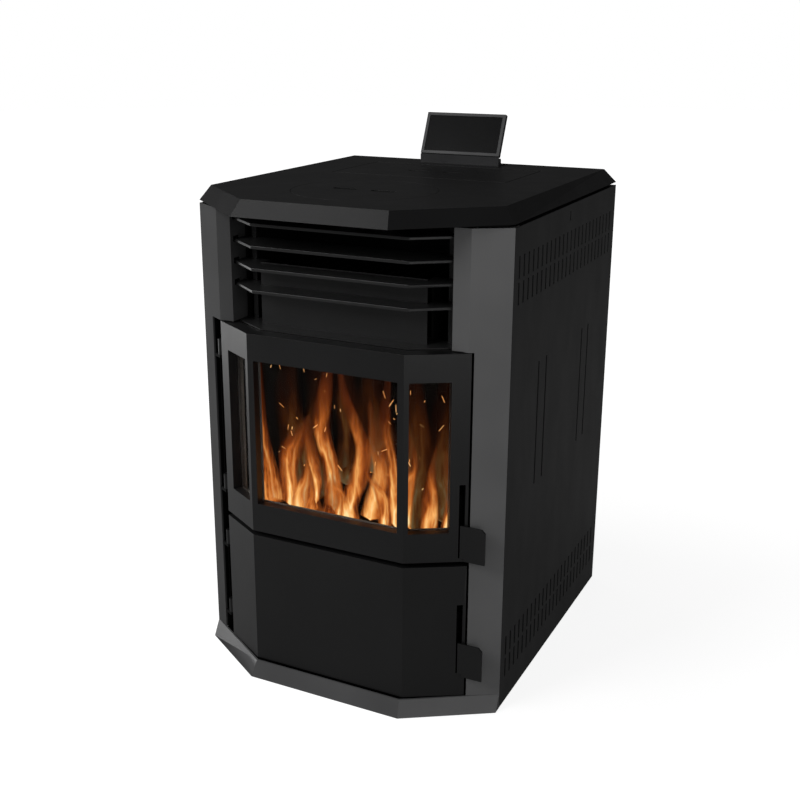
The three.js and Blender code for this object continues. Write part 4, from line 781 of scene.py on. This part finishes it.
def tongue(y, knots, rows=48, sides=16):
    """A flame's points, marks and faces. Its middle line and half width run smoothly through
    knots of (x, height, half width); its section is an oval a third as deep as it is wide,
    which closes at the foot and the tip, and its depth sways by 5 sin(7v)."""
    line = smooth_through(knots, rows)
    v = np.linspace(0, 1, rows)[:, None]
    a = np.linspace(0, TAU, sides, endpoint=False)[None, :]
    half = np.clip(line[:, 2:], 0.3, None) * np.clip(np.sin(np.pi * v) * 8, 0, 1)
    px = line[:, :1] + half * np.cos(a)
    py = y + 0.33 * half * np.sin(a) + 5 * np.sin(7 * v + line[0, 0])
    points = np.stack([px, py - CENTRE_Y, line[:, 1:2] + 0 * a], -1).reshape(-1, 3) * MM
    marks = np.stack([np.cos(a) + 0 * v, v + 0 * a], -1).reshape(-1, 2)
    return points, marks, grid_faces(rows, sides)


def flames(name, rows, material):
    """All tongues of one list as one mesh."""
    made = [tongue(*row) for row in rows]
    offsets = np.cumsum([0] + [len(points) for points, _, _ in made])
    points, marks = (np.vstack([row[k] for row in made]) for k in (0, 1))
    faces = np.vstack([row[2] + k for row, k in zip(made, offsets)])
    new_piece(name, points, outward(points, faces), material, "root", marks=marks)


# Depth, then (x, height, half width) from foot to tip, in millimetres.
NEAR_FLAMES = (
    (2, ((-156, 268, 30), (-162, 330, 27), (-167, 400, 19), (-170, 470, 13), (-172, 548, 5))),
    (24, ((-126, 268, 18), (-134, 320, 18), (-124, 372, 11), (-118, 410, 2))),
    (4, ((-112, 268, 15), (-116, 330, 17), (-108, 378, 23), (-88, 408, 22), (-78, 440, 4))),
    (-4, ((-62, 290, 5), (-58, 345, 10), (-66, 392, 13), (-86, 428, 5))),
    (14, ((-84, 268, 33), (-90, 308, 24), (-84, 348, 11), (-88, 386, 2))),
    (30, ((-44, 268, 20), (-52, 340, 17), (-66, 410, 17), (-58, 470, 16), (-48, 556, 6))),
    (6, ((-32, 268, 28), (-28, 300, 25), (-36, 332, 16), (-46, 360, 3))),
    (-2, ((2, 268, 20), (0, 300, 18), (22, 355, 19), (30, 402, 16), (10, 445, 13), (-8, 485, 10),
          (-20, 552, 3))),
    (20, ((26, 268, 22), (38, 315, 20), (50, 365, 15), (36, 415, 12), (24, 475, 4))),
    (2, ((68, 268, 13), (56, 318, 13), (38, 354, 9), (22, 392, 2))),
    (10, ((82, 268, 15), (74, 335, 18), (66, 400, 15), (60, 455, 12), (64, 535, 4))),
    (26, ((98, 268, 20), (92, 325, 17), (100, 380, 12), (92, 440, 3))),
    (-4, ((144, 268, 16), (142, 325, 15), (149, 380, 9), (154, 430, 2))),
    (18, ((168, 268, 15), (171, 320, 14), (165, 370, 9), (162, 420, 3))),
)
FAR_FLAMES = (
    (70, ((-150, 268, 36), (-140, 360, 34), (-154, 460, 24), (-146, 556, 8))),
    (64, ((-96, 268, 38), (-108, 350, 34), (-90, 440, 26), (-102, 556, 10))),
    (74, ((-40, 300, 32), (-30, 380, 32), (-48, 470, 24), (-36, 556, 10))),
    (60, ((20, 330, 22), (28, 400, 32), (14, 480, 26), (24, 556, 10))),
    (70, ((80, 268, 36), (90, 360, 34), (76, 460, 28), (88, 556, 10))),
    (10, ((118, 268, 16), (122, 350, 14), (126, 430, 12), (119, 500, 9), (114, 556, 4))),
    (62, ((140, 268, 34), (150, 360, 32), (136, 450, 24), (146, 556, 8))),
)
flames("near_flames", NEAR_FLAMES, flame_light)
flames("far_flames", FAR_FLAMES, flame_far)

# %% [markdown]
# ## Embers and sparks
#
# The pot holds a heap of short, round wood pellets that burn from the top down, and sparks
# fly up with the draught. A particle system would scatter them, but its result depends on the
# build of the program, so a seeded random draw places each one, and all of them are one mesh.

# %% Short rods, and turns that point anywhere
def short_rod(radius, length, sides=8):
    """A rod along Z whose rims are drawn in a little, closed at both ends by poles."""
    rise = np.array([-0.5, -0.5, -0.42, 0.42, 0.5, 0.5]) * length
    wide = np.array([0.0, 0.8, 1.0, 1.0, 0.8, 0.0]) * radius
    a = np.linspace(0, TAU, sides, endpoint=False)
    round_x, round_y = np.outer(wide, np.cos(a)), np.outer(wide, np.sin(a))
    points = np.stack([round_x, round_y, np.outer(rise, np.ones(sides))], -1)
    return points.reshape(-1, 3), grid_faces(len(rise), sides)


def random_turns(draw, count):
    """Turns whose axes point anywhere, from random unit quaternions."""
    q = draw.normal(size=(count, 4))
    w, x, y, z = (q / np.linalg.norm(q, axis=1)[:, None]).T
    rows = [[1 - 2 * (y * y + z * z), 2 * (x * y - w * z), 2 * (x * z + w * y)],
            [2 * (x * y + w * z), 1 - 2 * (x * x + z * z), 2 * (y * z - w * x)],
            [2 * (x * z - w * y), 2 * (y * z + w * x), 1 - 2 * (x * x + y * y)]]
    return np.moveaxis(np.array(rows), -1, 0)


print("rods and turns ready")

# %% Pellets in the pot, and sparks
PELLETS, SPARKS = 330, 40
HEAP_HALF = np.array([0.033, 0.026])   # metres: how far pellets lie from the pot's middle
DOME_HALF = np.array([0.045, 0.036])   # and where the dome over them would reach zero
HEAP_FOOT, HEAP_HIGH, HEAP_LEAST = 0.016, 0.034, 0.004

draw = np.random.default_rng(7)
pot_low, pot_high = (np.array(corner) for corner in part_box("burn_pot"))
pot_middle = (pot_low + pot_high) / 2
around = draw.uniform(-1, 1, (PELLETS, 2)) * HEAP_HALF
# The heap's height over a place is a dome: HEAP_HIGH (1 - (x / dome x)^2 - (y / dome y)^2).
heap = HEAP_HIGH * (1 - ((around / DOME_HALF) ** 2).sum(1))
levels = draw.uniform(0, 1, PELLETS) * np.clip(heap, HEAP_LEAST, None)
places = np.column_stack([pot_middle[:2] + around, pot_low[2] + HEAP_FOOT + levels])
points, faces = short_rod(3.1 * MM, 13 * MM)
turns = random_turns(draw, PELLETS)
points, faces = repeated(points, outward(points, faces), places, turns)
new_piece("burning_pellets", points, faces, ember, "root")

# Sparks fly between the windows and the pot, in metres across, in depth and up.
where = np.column_stack([
    draw.uniform(-0.150, 0.150, SPARKS),
    draw.uniform(-0.235, -0.17, SPARKS),
    draw.uniform(0.33, 0.53, SPARKS),
])
leans = draw.normal(0, 0.7, (SPARKS, 2))
climbing = np.array([facing((a, b, 1.0), (0, 1, 0)) for a, b in leans])
widths = draw.uniform(0.5, 1.0, (SPARKS, 1)).repeat(2, 1)
sizes = np.column_stack([widths, draw.uniform(0.3, 1.8, SPARKS)])
points, faces = short_rod(0.4 * MM, 7.0 * MM, 6)
points, faces = repeated(points, outward(points, faces), where, climbing * sizes[:, None, :])
new_piece("sparks", points, faces, spark_light, "root", smooth=False)

# %% [markdown]
# ## Screws
#
# The back panel comes off for service, so it is held by pan-head screws with a cross recess.
# Real heads could be cut with booleans, but a height that is a formula does it in one grid: a
# shallow dome over the radius, less a depth wherever the point lies in either arm of a cross.

# %% Pan-head screws on the back
# Millimetres: the cross's depth and reach, and how far a head goes into the panel.
RECESS, RECESS_REACH, SHANK = 1.3, 2.5, 0.4


def pan_head(radius=4.2, height=2.4, rings=13, sides=32):
    """A screw head along +Z, in metres. Over its radius r the height is
    height * (1 - (r / radius)^4)^0.5, less 1.3 mm in a cross whose arms taper with r."""
    r = np.concatenate([[0.0], np.linspace(0.35, radius, rings - 1)])[:, None]
    a = np.linspace(0, TAU, sides, endpoint=False)[None, :]
    x, y = r * np.cos(a), r * np.sin(a)
    dome = height * np.sqrt(np.clip(1 - (r / radius) ** 4, 0, 1))
    arm = 0.75 - 0.12 * r
    near = np.minimum(np.abs(x), np.abs(y))
    inside = np.clip((arm - near) / 0.25, 0, 1) * np.clip((RECESS_REACH - r) / 0.4, 0, 1)
    top = np.stack([x, y, np.clip(dome - RECESS * inside, 0, None) + 0 * a], -1)
    foot = np.stack([0 * x[:1], 0 * y[:1], -SHANK + 0 * a], -1)
    rim = np.stack([x[-1:], y[-1:], -SHANK + 0 * a], -1)
    points = np.concatenate([top, rim, foot])
    return points.reshape(-1, 3) * MM, grid_faces(len(points), sides)


FLUE_X, FLUE_Z, FLUE_RING = -107, 150, 52  # millimetres: the flue and its ring of screws
back_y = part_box("back_panel")[1][1]
PANEL_SCREWS = [(x, z) for z in (50, 270, 490, 715) for x in (-245, 245)]
PANEL_SCREWS += [(x, z) for z in (50, 745) for x in (-90, 90)]
for a in np.arange(1, 8, 2) * TAU / 8:
    PANEL_SCREWS.append((FLUE_X + FLUE_RING * math.cos(a), FLUE_Z + FLUE_RING * math.sin(a)))
heads = np.array([(x * MM, back_y, z * MM) for x, z in PANEL_SCREWS])
points, faces = pan_head()
away = np.repeat(facing((0, 1, 0))[None], len(heads), 0)
points, faces = repeated(points, outward(points, faces), heads, away)
new_piece("panel_screws", points, faces, screw_metal, "root")

# %% [markdown]
# ## The studio
#
# The stove stands on white with nothing round it. A white floor lit to white would need so
# much light that the paint would turn grey, so the floor and the world are white only to rays
# that look at them, and the lamps stay at a plain level. The floor's own grey takes the
# lamps' light, so a soft shadow stays. Reflections see a dim grey room and not a white one.

# %% White only where it is looked at
GLOSSY_LEVEL, AMBIENT = 0.06, 0.3


def whiteness(tree, glossy_level, ambient):
    """1 for rays that look at white straight or through glass, less for reflected ones.

    A ray that was reflected inside a pane before it left isn't looking through it."""
    ray = node(tree, "LightPath")
    unreflected = maths(tree, "LESS_THAN", ray.outputs["Glossy Depth"], 0.5)
    through = maths(tree, "MULTIPLY", ray.outputs["Is Transmission Ray"], unreflected)
    looking = maths(tree, "MAXIMUM", ray.outputs["Is Camera Ray"], through)
    other = spread(tree, ray.outputs["Is Glossy Ray"], ambient, glossy_level, 0, 1)
    return maths(tree, "MAXIMUM", looking, other)


print("reflections see", GLOSSY_LEVEL, "of white, and the world gives", AMBIENT)

# %% Floor
FLOOR_RADIUS, FLOOR_Z = 14.0, -0.6 * MM  # metres: just under the stove's foot
FLOOR_RINGS, FLOOR_SIDES = 8, 64
floor_finish, floor_tree = blank_material("studio_floor")
lit = node(floor_tree, "BsdfDiffuse", Color=(0.25, 0.25, 0.25, 1))
glow = node(floor_tree, "Emission", Color=(1, 1, 1, 1))
spot = node(floor_tree, "TexCoord")
reach = node(floor_tree, "VectorMath", operation="LENGTH")
link(floor_tree, spot.outputs["Object"], reach.inputs[0])
# The glow is a little lower within half a metre of the stove, and whole from 2.2 m out.
fuller = spread(floor_tree, reach.outputs["Value"], 0.86, 1.0, 0.5, 2.2)
white = maths(floor_tree, "MULTIPLY", whiteness(floor_tree, GLOSSY_LEVEL, 0.0), fuller)
link(floor_tree, white, glow.inputs["Strength"])
both = node(floor_tree, "AddShader")
link(floor_tree, lit.outputs[0], both.inputs[0])
link(floor_tree, glow.outputs[0], both.inputs[1])
finish_with(floor_finish, floor_tree, both)

# The floor is a flat disc: points (r cos a, r sin a, z) on rings that close at its middle.
r = np.linspace(0.0, FLOOR_RADIUS, FLOOR_RINGS)[:, None]
a = np.linspace(0, TAU, FLOOR_SIDES, endpoint=False)[None, :]
disc = np.stack([r * np.cos(a), r * np.sin(a), FLOOR_Z + 0 * r * a], -1).reshape(-1, 3)
floor_mesh = bpy.data.meshes.new("studio_floor")
floor_mesh.from_pydata(disc.tolist(), [], grid_faces(FLOOR_RINGS, FLOOR_SIDES)[:, ::-1].tolist())
merge_doubles(floor_mesh)
floor_mesh.materials.append(floor_finish)
floor = bpy.data.objects.new("studio_floor", floor_mesh)
scene.collection.objects.link(floor)
floor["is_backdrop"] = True
print("floor radius", FLOOR_RADIUS, "m")

# %% World
world = bpy.data.worlds.new("studio_world")
scene.world = world
world.use_nodes = True
air = world.node_tree
air.nodes.clear()
sky = node(air, "Background", Color=(1, 1, 1, 1))
link(air, whiteness(air, GLOSSY_LEVEL, AMBIENT), sky.inputs["Strength"])
air_end = node(air, "OutputWorld")
link(air, sky.outputs[0], air_end.inputs["Surface"])
scene.view_settings.view_transform = "Standard"
print("world set")

# %% [markdown]
# ## Lamps
#
# Dark satin paint is seen by what it mirrors, so each lamp is there for one set of faces: a
# large one high on the left for the front, a low one for the left facets, a weak one for the
# right side, a small low one for the right facets, and one overhead for the top. One strong
# lamp would light them all, but the folds between them would vanish.

# %% Five soft lamps
def softbox(name, place, aim, width, height, watts):
    """A rectangular lamp at place that faces aim."""
    lamp = bpy.data.lights.new(name, "AREA")
    lamp.shape, lamp.size, lamp.size_y = "RECTANGLE", width, height
    lamp.energy = watts
    holder = bpy.data.objects.new(name, lamp)
    holder.location = place
    way = np.subtract(aim, place)
    flat = math.hypot(way[0], way[1])
    holder.rotation_euler = (math.atan2(flat, -way[2]), 0.0, math.atan2(-way[0], way[1]))
    scene.collection.objects.link(holder)
    print(name, watts, "W")


softbox("key_high_left", (-1.5, -2.4, 2.4), (0, 0, 0.5), 1.4, 1.4, 58)
softbox("strip_low_left", (-2.0, -0.5, 0.7), (0, 0, 0.45), 0.9, 1.5, 22)
softbox("fill_right", (2.4, -1.9, 1.3), (0, 0, 0.5), 1.6, 1.6, 15)
softbox("strip_low_right", (1.5, -2.0, 0.4), (0, 0, 0.5), 0.5, 0.5, 3.5)
softbox("overhead_left", (-1.3, -0.6, 3.0), (0, 0.0, 0.7), 1.2, 1.2, 20)

# %% [markdown]
# ## The two sizes
#
# The frame is what fits beside other parts. Its box and the finished model's box are both
# measured, and the finished model's size is printed.

# %% Measure the two sizes and finish
seen_low, seen_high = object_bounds()
sizes = {"cad": [list(cad_low), list(cad_high)], "visual": [list(seen_low), list(seen_high)]}
print("visual box", [round(b - a, 4) for a, b in zip(seen_low, seen_high)])
